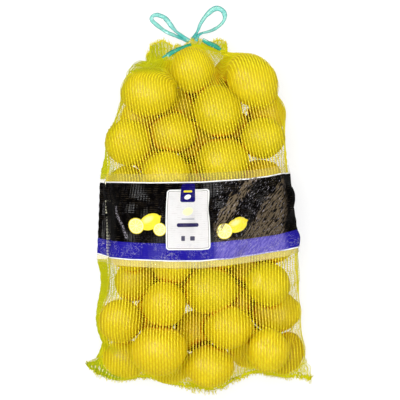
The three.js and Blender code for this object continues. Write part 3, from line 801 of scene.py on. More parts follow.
def pillar_paths(grid):
    """Slides the points along their rows, so that column i becomes pillar i.

    Pillars per millimetre are 1/spacing * (1 + k * crowding), where k makes their number right in each row.
    On the front the millimetres are counted straight across, as seen from above: the pillars are stretched in
    upright planes over the fruit, and don't step aside for each lemon. On the flanks and the back they are
    counted along the net and averaged over many rows. The count starts at an anchor on the front that leans
    with the bag. Also returns how much closer than the spacing the pillars are.
    """
    ring, length = closed_rows(grid)
    step = blur_rows(np.diff(length, axis=1), STRAIGHTEN_ROWS)
    column = np.arange(grid.shape[1]) / FINE
    share = np.clip(column / FRONT_COLUMNS, 0, 1)
    level = rise(np.sin(np.pi * share), LEVEL_FROM, LEVEL_TO)
    step = step * (1 - level) + np.abs(np.diff(ring[..., 0], axis=1)) * level
    total = step.sum(1)
    count = int(round(np.median(total) / PILLAR_SPACING / 2)) * 2
    weight = blur_rows(crowding(grid, grid_normals(grid)), STRAIGHTEN_ROWS / 2) + LEAST_CROWDING
    weight = np.concatenate([weight, weight[:, :1]], 1)
    mean_weight = (weight[:, 1:] + weight[:, :-1]) / 2
    spare = count * PILLAR_SPACING - total
    k = spare / (mean_weight * step).sum(1)
    crowded_rate = (1 + k[:, None] * mean_weight) / PILLAR_SPACING
    rate = np.where(spare[:, None] < 0, count / total[:, None], crowded_rate)
    index = np.concatenate([np.zeros((len(grid), 1)), np.cumsum(rate * step, 1)], 1)
    anchor_x = ANCHOR_X - LEAN * np.maximum(grid[:, grid.shape[1] // 3, 1] - LEAN_FROM, 0)
    half = FINE * FRONT_COLUMNS + 1
    out = np.empty((len(grid), count, 3))
    crowd = np.empty((len(grid), count))
    for r in range(len(grid)):
        label = index[r] - np.interp(anchor_x[r], ring[r, :half, 0], index[r, :half]) + count / 4
        wanted = np.arange(count)
        wanted = wanted + count * np.ceil((label[0] - wanted) / count)
        s = np.interp(wanted, label, length[r])
        out[r] = np.stack([np.interp(s, length[r], ring[r, :, axis]) for axis in range(3)], -1)
        crowd[r] = np.interp(s, length[r], np.append(rate[r], rate[r, 0])) * PILLAR_SPACING
    return out, crowd


def resample_rows(grid, count):
    """The grid with another number of rows, evenly spaced in the old row numbers."""
    old = np.linspace(0, len(grid) - 1, count)
    low = np.minimum(old.astype(int), len(grid) - 2)
    share = (old - low).reshape(-1, *[1] * (grid.ndim - 1))
    return grid[low] * (1 - share) + grid[low + 1] * share


pillar_grid, crowd_grid = pillar_paths(net_grid)
PILLARS = pillar_grid.shape[1]
front_length = np.linalg.norm(np.diff(pillar_grid[:, PILLARS // 4], axis=0), axis=1).sum()
COURSES = int(round(front_length / COURSE_SPACING))
HALF_STEPS = 2 * COURSES + 1
print(f"{PILLARS} pillars and {COURSES} courses over {front_length:.0f} mm")

# %% [markdown]
# ### Pleats
# Crowded pillars can't lie flat side by side, so they fold into small pleats, and at the mouth, where the
# drawstring gathers the whole net, the pleats are deep. Both are moves along the net's own normal, by sines
# of the pillar's number, because then a pleat follows its pillars all the way.

# %% Pleats
SMALL_PLEAT_PILLARS, BIG_PLEAT_PILLARS = 5, 9.0
FOLDS_ABOVE, FOLD_DEPTH = 1.15, 1.6
MOUTH_PLEAT = 2.6
ABOVE_FLOOR = 0.35

knit = resample_rows(pillar_grid, HALF_STEPS)
crowded = resample_rows(crowd_grid, HALF_STEPS)
knit_normal = grid_normals(knit)
coarse_row = np.linspace(0, LAST, HALF_STEPS)[:, None]
pillar_number = np.arange(PILLARS)[None]
fold_depth = np.clip(crowded - FOLDS_ABOVE, 0, 1.2) * FOLD_DEPTH
small_pleat = 1 + np.sin(2 * np.pi * pillar_number / SMALL_PLEAT_PILLARS + 1.5 * np.sin(coarse_row * 0.8))
mouth = rise(coarse_row, LAST - 4, LAST - 1)
frill = rise(coarse_row, LAST - 1, LAST)
big_pleat = np.sin(2 * np.pi * pillar_number / BIG_PLEAT_PILLARS + 0.9 * np.sin(pillar_number * 0.37))
move = fold_depth * small_pleat * (1 - mouth) + mouth * MOUTH_PLEAT * (0.35 + 0.65 * frill) * big_pleat
knit = knit + knit_normal * move[..., None]
knit[..., 2] = np.maximum(knit[..., 2], ABOVE_FLOOR)
knit_normal = grid_normals(knit)
print(f"pillars are up to {crowded.max():.1f} times closer than on the front")

# %% [markdown]
# ### Slack meshes
# Where no fruit stretches it, at the sides and in the corners, the net is slack and its meshes are pulled
# about. There each point moves a little within the net, by smooth noise, so neighbours move together and no
# two strands cross. The gathered net over the left shoulder is left alone.

# %% Where the net is free
NEAR_FRUIT, FAR_FROM_FRUIT = (1.5, 8.0), (3.0, 15.0)
SLACK_MOVE = 6.5


def free_of_fruit(points, heights=NEAR_FRUIT):
    """0 where the net lies on a lemon, 1 where it crosses a gap. It rises smoothly between two heights above
    the nearest lemon's skin."""
    height = np.full(points.shape[:-1], 1e9)
    for at, axis, radius, half in zip(lemon_at, lemon_axis, lemon_radius, lemon_half):
        away = points - at
        distance = np.linalg.norm(away, axis=-1)
        height = np.minimum(height, distance - reach(away / distance[..., None], axis, radius, half))
    return rise(height, *heights)


x, y, z = knit[..., 0], knit[..., 1], knit[..., 2]
left_top = rise(x, -38, -52) * rise(y, 183, 195)
slack = free_of_fruit(knit) * (1 - rise(z, 44, 70)) * (1 - mouth) * (1 - left_top)
beside, upwards = unit(np.roll(knit, -1, 1) - np.roll(knit, 1, 1)), unit(np.gradient(knit, axis=0))
noise_u, noise_v = pillar_number / 1.9 + coarse_row * 0.2, coarse_row * 1.7 + pillar_number * 0.3
for seed, direction in ((41, beside), (42, upwards)):
    wander = value_noise(noise_u, noise_v, seed) - 0.5
    knit = knit + direction * (SLACK_MOVE * wander * slack)[..., None]
knit[..., 2] = np.maximum(knit[..., 2], ABOVE_FLOOR)
knit_normal = grid_normals(knit)
print(f"{(slack > 0.5).mean():.0%} of the net is slack")

# %% [markdown]
# ### Which colour where
# The plastic is one pale yellow-green, but it looks lime where much of it lies behind itself, and yellow
# over fruit. So each point of the net stores how lime it looks: more low down, at the mouth, and along the
# left side and shoulder, where the seam pulls spare net together, and on the flanks, where the deeper lime is
# painted shade. Over dark gaps the threads look warmer, by painted light on the pillars and painted shade on
# the cross threads, and how much the net lies over a gap is stored too.

# %% Which colour where
x, y, z = knit[..., 0], knit[..., 1], knit[..., 2]
# How much the net lies over a dark gap: it sets painted light on the pillars and painted shade on the cross
# threads, and thins the cross threads.
facing_up = rise(z, 40, 65) * smooth((knit_normal[..., 2] - 0.3) / 0.4)
over_gap = free_of_fruit(knit, FAR_FROM_FRUIT) * facing_up * (1 - 0.8 * open_side(knit))
low_down = rise(z, 48, 22)
# Painted shade: the steeper the net, the deeper its lime.
flank_shade = 0.6 - 0.6 * smooth((knit_normal[..., 2] - 0.05) / 0.4)
near_mouth = rise(y, 174, 208) * (0.3 + 0.7 * free_of_fruit(knit))
left_shoulder = 1.05 * rise(x - edge_x(LEFT_EDGE, y), 17, 4) * rise(y, 50, 90)
left_flank = 1.2 * rise(x, -104, -116) * free_of_fruit(knit)
frill_lime = 1.15 * rise(coarse_row, LAST - 2, LAST - 1) * np.ones(PILLARS)
lime = np.max([low_down, flank_shade, near_mouth, left_shoulder, left_flank, 1.3 * left_top, frill_lime], 0)
print(f"{(lime > 0.5).mean():.0%} of the net looks lime")


def net_values(obj, ring_points, *values):
    """Stores a net piece's values, each repeated for all the points of the strand's section."""
    for name, value in zip(("dense", "over_gap", "lime", "cross_thread"), values):
        point_value(obj, name, np.repeat(value.reshape(-1), ring_points))

# %% [markdown]
# ### Pillars
# A pillar is a chain of stitches: its strip has a diamond section, which is widest at each stitch and
# narrow between two stitches. Real loops of yarn would need twenty times the faces and look the same from a
# step away. Pillars that crowd are pressed narrower, and those over the shoulders are a little wider.

# %% Pillars
STITCH_WIDTH, STITCH_SWELL, STITCH_UNEVEN = 1.45, 0.5, 0.12
PILLAR_THICKNESS = 0.5
rng = np.random.default_rng(5)
on_stitch = np.where((np.arange(PILLARS)[:, None] + np.arange(HALF_STEPS)) % 2 == 0, 1.0, -1.0)
uneven = rng.uniform(-STITCH_UNEVEN, STITCH_UNEVEN, (PILLARS, HALF_STEPS))
stitch_width = STITCH_WIDTH + STITCH_SWELL * on_stitch + uneven
right_top = 1.7 * rise(x, 26, 38) * rise(y, 190, 202)
shoulders = np.maximum(left_top, right_top)
stitch_width = stitch_width / np.maximum(crowded.T, 1) ** 0.6 * (1 - 0.35 * slack.T) * (1 + 0.4 * shoulders.T)
paths = knit.transpose(1, 0, 2)
normals = knit_normal.transpose(1, 0, 2)
net_pieces = []
for name, chosen in (("net_pillars_front", slice(0, PILLARS // 2)),
                     ("net_pillars_back", slice(PILLARS // 2, None))):
    skin = strips(paths[chosen], normals[chosen], DIAMOND, stitch_width[chosen], PILLAR_THICKNESS)
    obj = strips_object(name, skin)
    net_values(obj, len(DIAMOND), crowded.T[chosen], over_gap.T[chosen], lime.T[chosen])
    net_pieces.append(obj)

# %% [markdown]
# ### Courses
# A course is a ring round the whole bag. It crosses every pillar and zigzags between them, and lies just
# under them, so the pillars stand out. Its section is a wedge, which costs one face less than a diamond.

# %% Courses
SLANT = 0.3
COURSE_WIDTH, COURSE_THICKNESS, COURSE_UNEVEN = 0.6, 0.3, 0.08
UNDER_PILLARS = 0.2


def course_rings(positions):
    """Rings at the given places, counted in half steps, with a zigzag from pillar to pillar: the place is
    position + slant on even pillars and position - slant on odd ones. Returns the rings' paths, normals,
    widths and the values to store."""
    position = np.asarray(positions)[:, None] + np.where(pillar_number % 2 == 0, SLANT, -SLANT)
    position = np.clip(position, 0, HALF_STEPS - 1.001)
    low = position.astype(int)
    share = (position - low)[..., None]
    column = np.broadcast_to(pillar_number, low.shape)
    at = knit[low, column] * (1 - share) + knit[low + 1, column] * share
    normal = unit(knit_normal[low, column] * (1 - share) + knit_normal[low + 1, column] * share)
    gap = over_gap[low, column]
    width = COURSE_WIDTH * (1 - 0.35 * slack[low, column]) * (1 - 0.45 * gap)
    values = (crowded[low, column], gap, lime[low, column], np.ones(low.shape))
    return at - normal * UNDER_PILLARS, normal, width, values


ring, ring_normal, ring_width, ring_values = course_rings(np.arange(HALF_STEPS - 1.0))
ring_width = ring_width + rng.uniform(-COURSE_UNEVEN, COURSE_UNEVEN, ring_width.shape)
split = len(ring) // 2
for name, chosen in (("net_courses_lower", slice(0, split)), ("net_courses_upper", slice(split, None))):
    skin = strips(ring[chosen], ring_normal[chosen], WEDGE, ring_width[chosen], COURSE_THICKNESS, closed=True)
    obj = strips_object(name, skin)
    net_values(obj, len(WEDGE), *(values[chosen] for values in ring_values))
    net_pieces.append(obj)

# %% [markdown]
# ## Hem and mouth
# The hem is folded and sewn with close-set threads, so it looks like a solid lime band. A flat ribbon would
# hide its stitches, so extra rings are packed into its 7 mm instead, and into the channel that the
# drawstring runs in. At the hem's left end the seam ends in a dense ear, with twelve more rings over its
# pillars.

# %% Hem rings
HEM_RING_ROWS = np.linspace(0.25, 0.8, 4)
CHANNEL_RING_ROWS = LAST - 1 + np.linspace(-0.35, 0.15, 5)
EAR_ROWS, EAR_PILLARS = np.linspace(0.9, 3.0, 12), 11
SEWN_WIDTH, SEWN_THICKNESS, EAR_WIDTH = 1.7, 0.6, 1.5
HEM_LIME, EAR_LIME = 1.17, 0.5
hem_steps = (HALF_STEPS - 1) / LAST
ring, ring_normal, *_ = course_rings(np.concatenate([HEM_RING_ROWS, CHANNEL_RING_ROWS]) * hem_steps)
ear, ear_normal, *_ = course_rings(EAR_ROWS * hem_steps)
ear_columns = np.arange(-EAR_PILLARS, EAR_PILLARS + 1)
ear_batch = strips(ear[:, ear_columns], ear_normal[:, ear_columns], DIAMOND, EAR_WIDTH, PILLAR_THICKNESS)
sewn_batch = strips(ring, ring_normal, WEDGE, SEWN_WIDTH, SEWN_THICKNESS, closed=True)
sewn_rings = strips_object("net_hem", sewn_batch, ear_batch)
ring_points = np.empty(3 * len(sewn_rings.data.vertices), np.float32)
sewn_rings.data.vertices.foreach_get("co", ring_points)
point_value(sewn_rings, "lime", HEM_LIME + EAR_LIME * smooth((-102 - ring_points[::3] / MM) / 10))
net_pieces.append(sewn_rings)

# %% [markdown]
# ### Hem stitches
# The hem's pale sewing thread shows as two rows of short dashes, one at its foot and one at its top, and
# each dash lies on a pillar.

# %% Hem dashes
DASH_SHARES = ((-0.22, 0.2), (0.88, 1.3))
DASH_WIDTH, DASH_THICKNESS, DASH_LIFT = 1.25, 0.5, 0.9
UP = np.array([0.0, 0.0, 1.0])
front_pillars = slice(0, PILLARS // 2)
hem_foot = knit[0, front_pillars]
hem_height = (knit[int(hem_steps)] - knit[0])[front_pillars] * LAST / (LAST - 1)
dash_batches = []
for low, high in DASH_SHARES:
    share = np.linspace(low, high, 4)[None, :, None]
    dash = hem_foot[:, None] + hem_height[:, None] * share + UP * DASH_LIFT
    dash_batches.append(strips(dash, UP, DIAMOND, DASH_WIDTH, DASH_THICKNESS))
hem_dashes = strips_object("hem_dashes", *dash_batches)

# %% [markdown]
# ### Loose ends
# The pillars' cut ends stick out below the hem, longer at its middle, and in a thick fringe out of the
# mouth. Hair particles would do it, but they don't become a mesh that can be kept, so each end is a short
# strip with its own length, lean and bend.

# %% Loose ends
END_POINTS = 5
END_TAPER, END_THICKNESS = 0.45, 0.35
FRINGE_LIME = 0.75


def loose_ends(root, direction, length, lean, copies, seed, thickness=1.0):
    """Short curved strands: point = root + direction * s + lean * s^2, with s from 0 to each one's length."""
    rng = np.random.default_rng(seed)
    root = np.repeat(root, copies, axis=0)
    direction = np.repeat(direction, copies, axis=0)
    count = len(root)
    direction = unit(direction + rng.normal(0, lean, (count, 3)))
    bend = rng.normal(0, 0.035, (count, 3))
    s = np.linspace(0, 1, END_POINTS)[None, :, None] * rng.uniform(*length, (count, 1, 1))
    path = root[:, None] + direction[:, None] * s + bend[:, None] * s**2
    path[..., 2] = np.maximum(path[..., 2], 0.4)
    width = thickness * np.linspace(1, END_TAPER, END_POINTS)[None] * rng.uniform(0.55, 1.1, (count, 1))
    return strips(path, unit(np.array([0.0, 0.25, 0.97])), DIAMOND, width, END_THICKNESS)


hem_out = unit(knit[0] - knit[2])
mouth_out = unit(knit[-1] - knit[-3])
middle_hem = np.exp(-(((knit[0, :, 0] - 24) / 40) ** 2)) > 0.4
hem_batch = loose_ends(knit[0], hem_out, (1.8, 3.0), 0.07, 1, 21, 1.9)
long_batch = loose_ends(knit[0][middle_hem], hem_out[middle_hem], (3.5, 5.5), 0.14, 1, 22, 1.3)
mouth_batch = loose_ends(knit[-1], mouth_out, (1.5, 5.5), 0.36, 4, 23)
fringe = strips_object("net_fringe", hem_batch, long_batch, mouth_batch)
point_value(fringe, "lime", np.full(len(fringe.data.vertices), FRINGE_LIME))
net_pieces.append(fringe)

# %% [markdown]
# ## The side seam's spare edge
# Front and back are sewn together down the left side, and about 12 mm of both stands out beyond the
# stitches. Its pillars run along the seam, close together, so it looks dense and more green than the rest.
# Light comes through between them, so it isn't one green ribbon but two layers of uneven strands, with a
# slow wave that opens and closes them.

# %% Seam flap
SEAM_START, SEAM_END = 1.0, 30.0
FLAP_WIDTH, FLAP_DROOP, FLAP_LEAST = 12.0, 5.0, 1.5
FLAP_EDGE = np.array([
    (-150, -206), (-146, -202), (-141.5, -195), (-137.5, -187), (-133.8, -175), (-137, -167), (-140.5, -157),
    (-142.5, -143), (-140.5, -122), (-138, -111), (-135.5, -96), (-136.5, -77), (-140, -66), (-139.6, -54),
    (-137.5, 0), (-136.4, 47), (-135, 61), (-133.7, 74), (-131, 88), (-129.6, 99), (-126, 108), (-121, 119),
], float)


def seam_root(row):
    """The bag's left edge at a coarse row number."""
    position = np.asarray(row) * FINE
    low = np.minimum(position.astype(int), len(net_grid) - 2)
    share = (position - low)[..., None]
    return net_grid[low, 0] * (1 - share) + net_grid[low + 1, 0] * share


def flap_points(row, share):
    """A point of the flap: root + outwards * width * share - down * droop * share^2. Its width is what lies
    between the bag and the flap's own outer line, and fades out at the top."""
    row, share = np.broadcast_arrays(np.asarray(row, float), share)
    taper = smooth((row - SEAM_START + 1) / 2) * smooth((SEAM_END - row) / 4)
    root = seam_root(row)
    room = root[..., 0] - np.interp(root[..., 1], FLAP_EDGE[:, 1], FLAP_EDGE[:, 0])
    width = FLAP_LEAST + np.clip(room - FLAP_LEAST, 0, FLAP_WIDTH + 2) * taper
    wave = 0.8 * np.sin(row * 2.1) * share + 0.5 * np.sin(row * 5.3 + 1) * share
    x = root[..., 0] - width * share + 0.25 * np.sin(row * 6.1) * share
    z = root[..., 2] - FLAP_DROOP * taper * share**2 + wave
    return np.stack([x, root[..., 1], z], -1)

# %% Seam flap's strands
FLAP_PILLARS, FLAP_STEPS_PER_ROW = 9, 7.5
FLAP_STRAND, FLAP_SWELL, FLAP_JITTER = 1.3, 0.3, 0.12
CROSS_POINTS, CROSS_PITCH, CROSS_ZIGZAG = 9, 0.3, 0.07
CROSS_WIDTH, CROSS_THICKNESS = 0.7, 0.35
LAYER_LIFT = 0.75
FLAP_LIME = 1.35


def alternate(count):
    """1, -1, 1, -1 and so on."""
    return np.where(np.arange(count) % 2 == 0, 1, -1)


def flap_object(name, first, last):
    """Two layers of strands along the flap, and of zigzag threads across it, between two coarse rows."""
    rows = np.linspace(first, last, int((last - first) * FLAP_STEPS_PER_ROW))
    batches = []
    for layer, lift in ((0, LAYER_LIFT), (1, -LAYER_LIFT)):
        share = (np.arange(FLAP_PILLARS) + 0.3 + 0.35 * layer) / FLAP_PILLARS
        path = flap_points(rows[None], share[:, None]) + UP * lift
        jitter = np.random.default_rng(31 + layer).normal(0, FLAP_JITTER, path.shape)
        width = FLAP_STRAND + FLAP_SWELL * alternate(len(rows))[None]
        batches.append(strips(path + jitter, UP, DIAMOND, width, 0.45))
        cross_rows = np.arange(first, last, CROSS_PITCH) + CROSS_PITCH / 2 * layer
        zigzag = CROSS_ZIGZAG * alternate(CROSS_POINTS)
        across = np.linspace(-0.12, 1.0, CROSS_POINTS)
        cross = flap_points(cross_rows[:, None] + zigzag[None], across[None]) + UP * lift * 0.8
        batches.append(strips(cross, UP, WEDGE, CROSS_WIDTH, CROSS_THICKNESS))
    obj = strips_object(name, *batches)
    point_value(obj, "lime", np.full(len(obj.data.vertices), FLAP_LIME))
    return obj


net_pieces.append(flap_object("seam_flap_lower", SEAM_START, BAND_ROWS[0] + 0.5))
net_pieces.append(flap_object("seam_flap_upper", BAND_ROWS[1] - 0.5, SEAM_END))

# %% [markdown]
# ### The seam's thread
# The sewing is one pale thread: a row of small lens-shaped stitches that follows the flap's root, then
# turns along the hem's left end. Between stitches it is under the net, so each is a short closed strip.

# %% Seam thread
ROUTE_POINTS, STITCH_POINTS = 800, 6
SEAM_STITCH = dict(pitch=4.2, length=3.3, width=1.3, lift=0.4)
EAR_STITCH = dict(pitch=2.8, length=2.3, width=1.4, lift=0.4)
THREAD_HEIGHT = 1.0


def stitches(route, pitch, length, width, lift):
    """Stitches along a route: each a small strip whose width follows sqrt(sin(pi * share))."""
    path, total = spline(route, ROUTE_POINTS)
    place = np.linspace(0, total, ROUTE_POINTS)
    count = int(total / pitch)
    share = np.linspace(0, 1, STITCH_POINTS)
    s = (np.arange(count)[:, None] + 0.5) * pitch + (share[None] - 0.5) * length
    points = np.stack([np.interp(s, place, path[:, i]) for i in range(3)], -1) + UP * lift
    swell = np.sqrt(np.sin(np.pi * (0.06 + 0.88 * share)))[None]
    return strips(points, UP, ROUND, width * swell, THREAD_HEIGHT * swell)


root_rows = np.linspace(SEAM_START, SEAM_END, 40)
thread_route = flap_points(root_rows, np.full(40, 0.08)) + UP * 1.6
ear_route = np.array([(-127.5, -203, 22.5), (-124, -208, 23), (-118, -214, 23), (-109, -219.5, 23)], float)
thread_batches = stitches(thread_route, **SEAM_STITCH), stitches(ear_route, **EAR_STITCH)
thread = strips_object("seam_thread", *thread_batches)

# %% [markdown]
# ## The film band
# A printed film band 127 mm wide goes round the bag's middle. A film can't stretch into hollows as a net
# does, and it bridges them. A cylinder that is shrinkwrapped would follow each lemon too closely, so its
# surface starts on the net and is smoothed much harder, while it keeps 1.3 mm clear of the net.

# %% Film surface
FILM_WIDTH = 127
FILM_GAP, FILM_ABOVE_FLOOR = 1.3, 0.6
FILM_THICKNESS = 0.14
FILM_STEPS, FILM_TENSION = 200, 0.8


def film_surface():
    """The net's rows under the band, lifted along their normals and relaxed: each point moves most of the way
    to the middle of its four neighbours, back to its own line across, and out of the net and the fruit."""
    under = finer(net_grid[BAND_ROWS[0] * FINE:BAND_ROWS[1] * FINE + 1])
    normal = grid_normals(under)
    share = np.linspace(0, 1, len(under))[:, None]
    film = under + normal * FILM_GAP
    for _ in range(FILM_STEPS):
        rows = np.concatenate([film[1:2], film, film[-2:-1]])
        mean = (rows[2:] + rows[:-2] + np.roll(film, 1, 1) + np.roll(film, -1, 1)) / 4
        film = film + (mean - film) * FILM_TENSION
        x = film[..., 0]
        film[..., 1] = line_y(BAND_LOWER_LINE, x) * (1 - share) + line_y(BAND_UPPER_LINE, x) * share
        clear = ((film - under) * normal).sum(-1)
        film = film + normal * np.maximum(FILM_GAP - clear, 0)[..., None]
    flat = film.reshape(-1, 3)
    push_out(flat, NET_GAP + FILM_GAP + 0.5, near_lemons(flat, 6))
    film = flat.reshape(film.shape)
    film[..., 2] = np.maximum(film[..., 2], FILM_ABOVE_FLOOR)
    return film


film = film_surface()
film_normal = grid_normals(film)
FILM_ROWS, FILM_COLUMNS = film.shape[:2]

# %% [markdown]
# ### Millimetres on the film
# The print needs to know where it is on the flat film: u millimetres across, from the label's middle, and v
# up from its lower rim. An unwrap would stretch it, so u is the length round the film itself, evened out
# over neighbouring rows so that straight lines of print stay straight.

# %% Film's own coordinates
PANEL_X = -16.0
EVEN_ROWS = 12
ring, length = closed_rows(film)
length = blur_rows(length, EVEN_ROWS)
front_half = 2 * FINE * FRONT_COLUMNS + 1
centre_x = blur_rows(film[:, :front_half, 0], EVEN_ROWS)
panel_at = np.array([np.interp(PANEL_X, x, s) for x, s in zip(centre_x, length[:, :front_half])])
film_u = length[:, :-1] - panel_at[:, None]
film_v = np.linspace(0, FILM_WIDTH, FILM_ROWS)
round_length = float(length[:, -1].mean())
front_end = float(film_u[:, front_half - 1].mean())
print(f"film {round_length:.0f} mm round, front from u = {film_u[:, 0].mean():.0f} to {front_end:.0f} mm")

# %% [markdown]
# ### The film's folds
# At the right the film is loose and lies in long diagonal folds, and small creases run all over it. They
# are moves along the normal. A long fold is a saw tooth across its own direction, steep on one side, and a
# crease is the ridge where two patches of noise meet.

# %% Film folds
FOLD_TURN, FOLD_PERIOD, FOLD_STEEP = np.radians(52), 38.0, 0.36
FOLD_START, FOLD_WANDER = 14, 7
LONG_FOLD, SHORT_FOLD, FLAT_CREASE = 2.8, 0.5, 0.25


def crease(x, y, seed):
    """Sharp ridges between smooth patches: 1 - |2 * noise - 1|, squared."""
    return (1 - np.abs(2 * value_noise(x, y, seed) - 1)) ** 2


u, v = film_u, film_v[:, None] * np.ones(FILM_COLUMNS)
loose = rise(u, 30, 65) * smooth((front_end - u) / 40)
along_fold = u * np.cos(FOLD_TURN) + v * np.sin(FOLD_TURN)
across_fold = -u * np.sin(FOLD_TURN) + v * np.cos(FOLD_TURN)
wander = FOLD_WANDER * (value_noise(along_fold / 30, across_fold / 30, 3) - 0.5)
phase = (across_fold + FOLD_START + wander) / FOLD_PERIOD % 1
big_fold = np.where(phase < FOLD_STEEP, phase / FOLD_STEEP, (1 - phase) / (1 - FOLD_STEEP))
small_fold = crease(along_fold / 14, across_fold / 7, 5) + 0.6 * crease(u / 6, v / 8, 6)
height = loose * (LONG_FOLD * smooth(big_fold) + SHORT_FOLD * small_fold)
height = FLAT_CREASE * crease(u / 24, v / 30, 7) + height
edge_fade = 0.35 + 0.65 * smooth(np.minimum(v, FILM_WIDTH - v) / 12)
film = film + film_normal * (height * edge_fade)[..., None]
film_normal = grid_normals(film)
print(f"folds up to {height.max():.1f} mm high")

# %% Film band
def film_uv(obj, u_of_vertex, v_of_vertex, wrap=None):
    """UV in decimetres, across the film and up it. At the ring's closing column u simply goes on."""
    mesh = obj.data
    corner = np.empty(len(mesh.loops), np.int32)
    mesh.loops.foreach_get("vertex_index", corner)
    u = np.asarray(u_of_vertex, float)[corner]
    v = np.asarray(v_of_vertex, float)[corner]
    if wrap is not None:
        start = np.empty(len(mesh.polygons), np.int32)
        mesh.polygons.foreach_get("loop_start", start)
        size = np.empty(len(mesh.polygons), np.int32)
        mesh.polygons.foreach_get("loop_total", size)
        highest = np.repeat(np.maximum.reduceat(u, start), size)
        u = np.where(highest - u > wrap / 2, u + wrap, u)
    layer = mesh.uv_layers.new(name="print")
    layer.data.foreach_set("uv", np.stack([u / 100, v / 100], -1).astype(np.float32).ravel())


inner = film - film_normal * FILM_THICKNESS
shell = np.concatenate([film, inner[::-1]])
film_band = mesh_object("film_band", shell, grid_faces(2 * FILM_ROWS, FILM_COLUMNS, wrap_rows=True))
film_uv(film_band, np.concatenate([u, u[::-1]]).ravel(), np.concatenate([v, v[::-1]]).ravel(), round_length)

# %% [markdown]
# ### The film's spare edge
# The film is sewn into the side seam too, so its own spare edge stands out at the left, printed on both
# sides. It covers the net's flap there, so it is made from the same flap surface, as a closed sleeve round
# it. A row of longer stitches holds it.

# %% Film fin
FIN_ROWS, FIN_HALF_THICKNESS = 64, 1.7
fin_rows = np.linspace(BAND_ROWS[0], BAND_ROWS[1], FIN_ROWS)
fin_share = np.linspace(-0.12, 1.06, 14)
fin = flap_points(fin_rows[:, None], fin_share[None])
edge_y = np.stack([line_y(BAND_LOWER_LINE, fin[..., 0]), line_y(BAND_UPPER_LINE, fin[..., 0])])
fin_v_share = np.linspace(0, 1, FIN_ROWS)[:, None]
fin[..., 1] = edge_y[0] * (1 - fin_v_share) + edge_y[1] * fin_v_share
top_side, under_side = fin + UP * FIN_HALF_THICKNESS, fin - UP * FIN_HALF_THICKNESS
section = np.concatenate([top_side[:, ::-1], under_side], 1)
fin_count = section.shape[1]
caps = np.stack([np.arange(fin_count)[::-1], (FIN_ROWS - 1) * fin_count + np.arange(fin_count)])
film_fin = mesh_object("film_fin", section, grid_faces(FIN_ROWS, fin_count), caps)
fin_u = film_u[:, 0].mean() - FLAP_WIDTH * fin_share
fin_u_round = np.tile(np.concatenate([fin_u[::-1], fin_u]), FIN_ROWS)
film_uv(film_fin, fin_u_round, np.repeat(FILM_WIDTH * fin_v_share[:, 0], fin_count))

# %% Film's stitches
STITCH_X = -127.6
BAND_STITCH = dict(pitch=7.0, length=4.8, width=1.6, lift=0.7)
stitch_row = np.linspace(2, FILM_ROWS - 3, 22).astype(int)
stitch_column = np.abs(film[stitch_row, :front_half, 0] - STITCH_X).argmin(1)
band_stitch_route = film[stitch_row, stitch_column] + film_normal[stitch_row, stitch_column] * 0.6
band_thread = strips_object("band_thread", stitches(band_stitch_route, **BAND_STITCH))

# %% [markdown]
# ## The drawstring's runs
# Along the mouth the tape lies on top of the net, under the frill's fringe, in two short runs. They are
# fixed there, so they are plain pieces and no cords, made as the loops are.

# %% Drawstring runs
RUN_Z, RUN_POINTS, RUN_TWIST = 33.0, 48, 0.25
RUN_LEFT = [
    (-50, 212, RUN_Z - 1.6), (-44, 216.8, RUN_Z), (-38, 220.8, RUN_Z + 0.4), (-30, 224.8, RUN_Z + 0.6),
    (-20.5, 229, RUN_Z), (-12, 232, RUN_Z - 1.5),
]
RUN_RIGHT = [
    (3.5, 238.5, RUN_Z - 2.4), (7, 236, RUN_Z - 0.6), (11, 233.6, RUN_Z + 0.4), (20.3, 229.6, RUN_Z + 0.6),
    (28.4, 224.8, RUN_Z - 0.4),
]
WIDTH_RUN_LEFT = [(0, 6.4), (0.3, 6.6), (0.7, 4.6), (1, 3.6)]
WIDTH_RUN_RIGHT = [(0, 4.6), (0.4, 6.6), (0.8, 6.2), (1, 4.4)]
run_objects = {}
for side_name, route, wide in (("left", RUN_LEFT, WIDTH_RUN_LEFT), ("right", RUN_RIGHT, WIDTH_RUN_RIGHT)):
    batch, _, length = tape_strip(route, RUN_POINTS, wide, lambda t: RUN_TWIST * np.sin(5 * t))
    run_objects[side_name] = strips_object(f"drawstring_run_{side_name}_tape", batch)
    mark_tape(run_objects[side_name], np.ones(RUN_POINTS))
    print(f"drawstring run {side_name}: {length:.0f} mm")

# %% [markdown]
# ## Materials
# Values that vary over a surface come from attributes stored in its mesh, from noise on its object
# coordinates, or, for the printed film, from its own UV map in real millimetres. A small class keeps each
# material short to write, and ragged patches, which four materials have, are one node group.

# %% Colours and nodes
def srgb(r, g, b):
    """A colour given as 0-255 screen values, in the linear values that a shader takes."""
    c = np.array([r, g, b]) / 255
    linear = np.where(c <= 0.04045, c / 12.92, ((c + 0.055) / 1.055) ** 2.4)
    return (*linear.tolist(), 1.0)


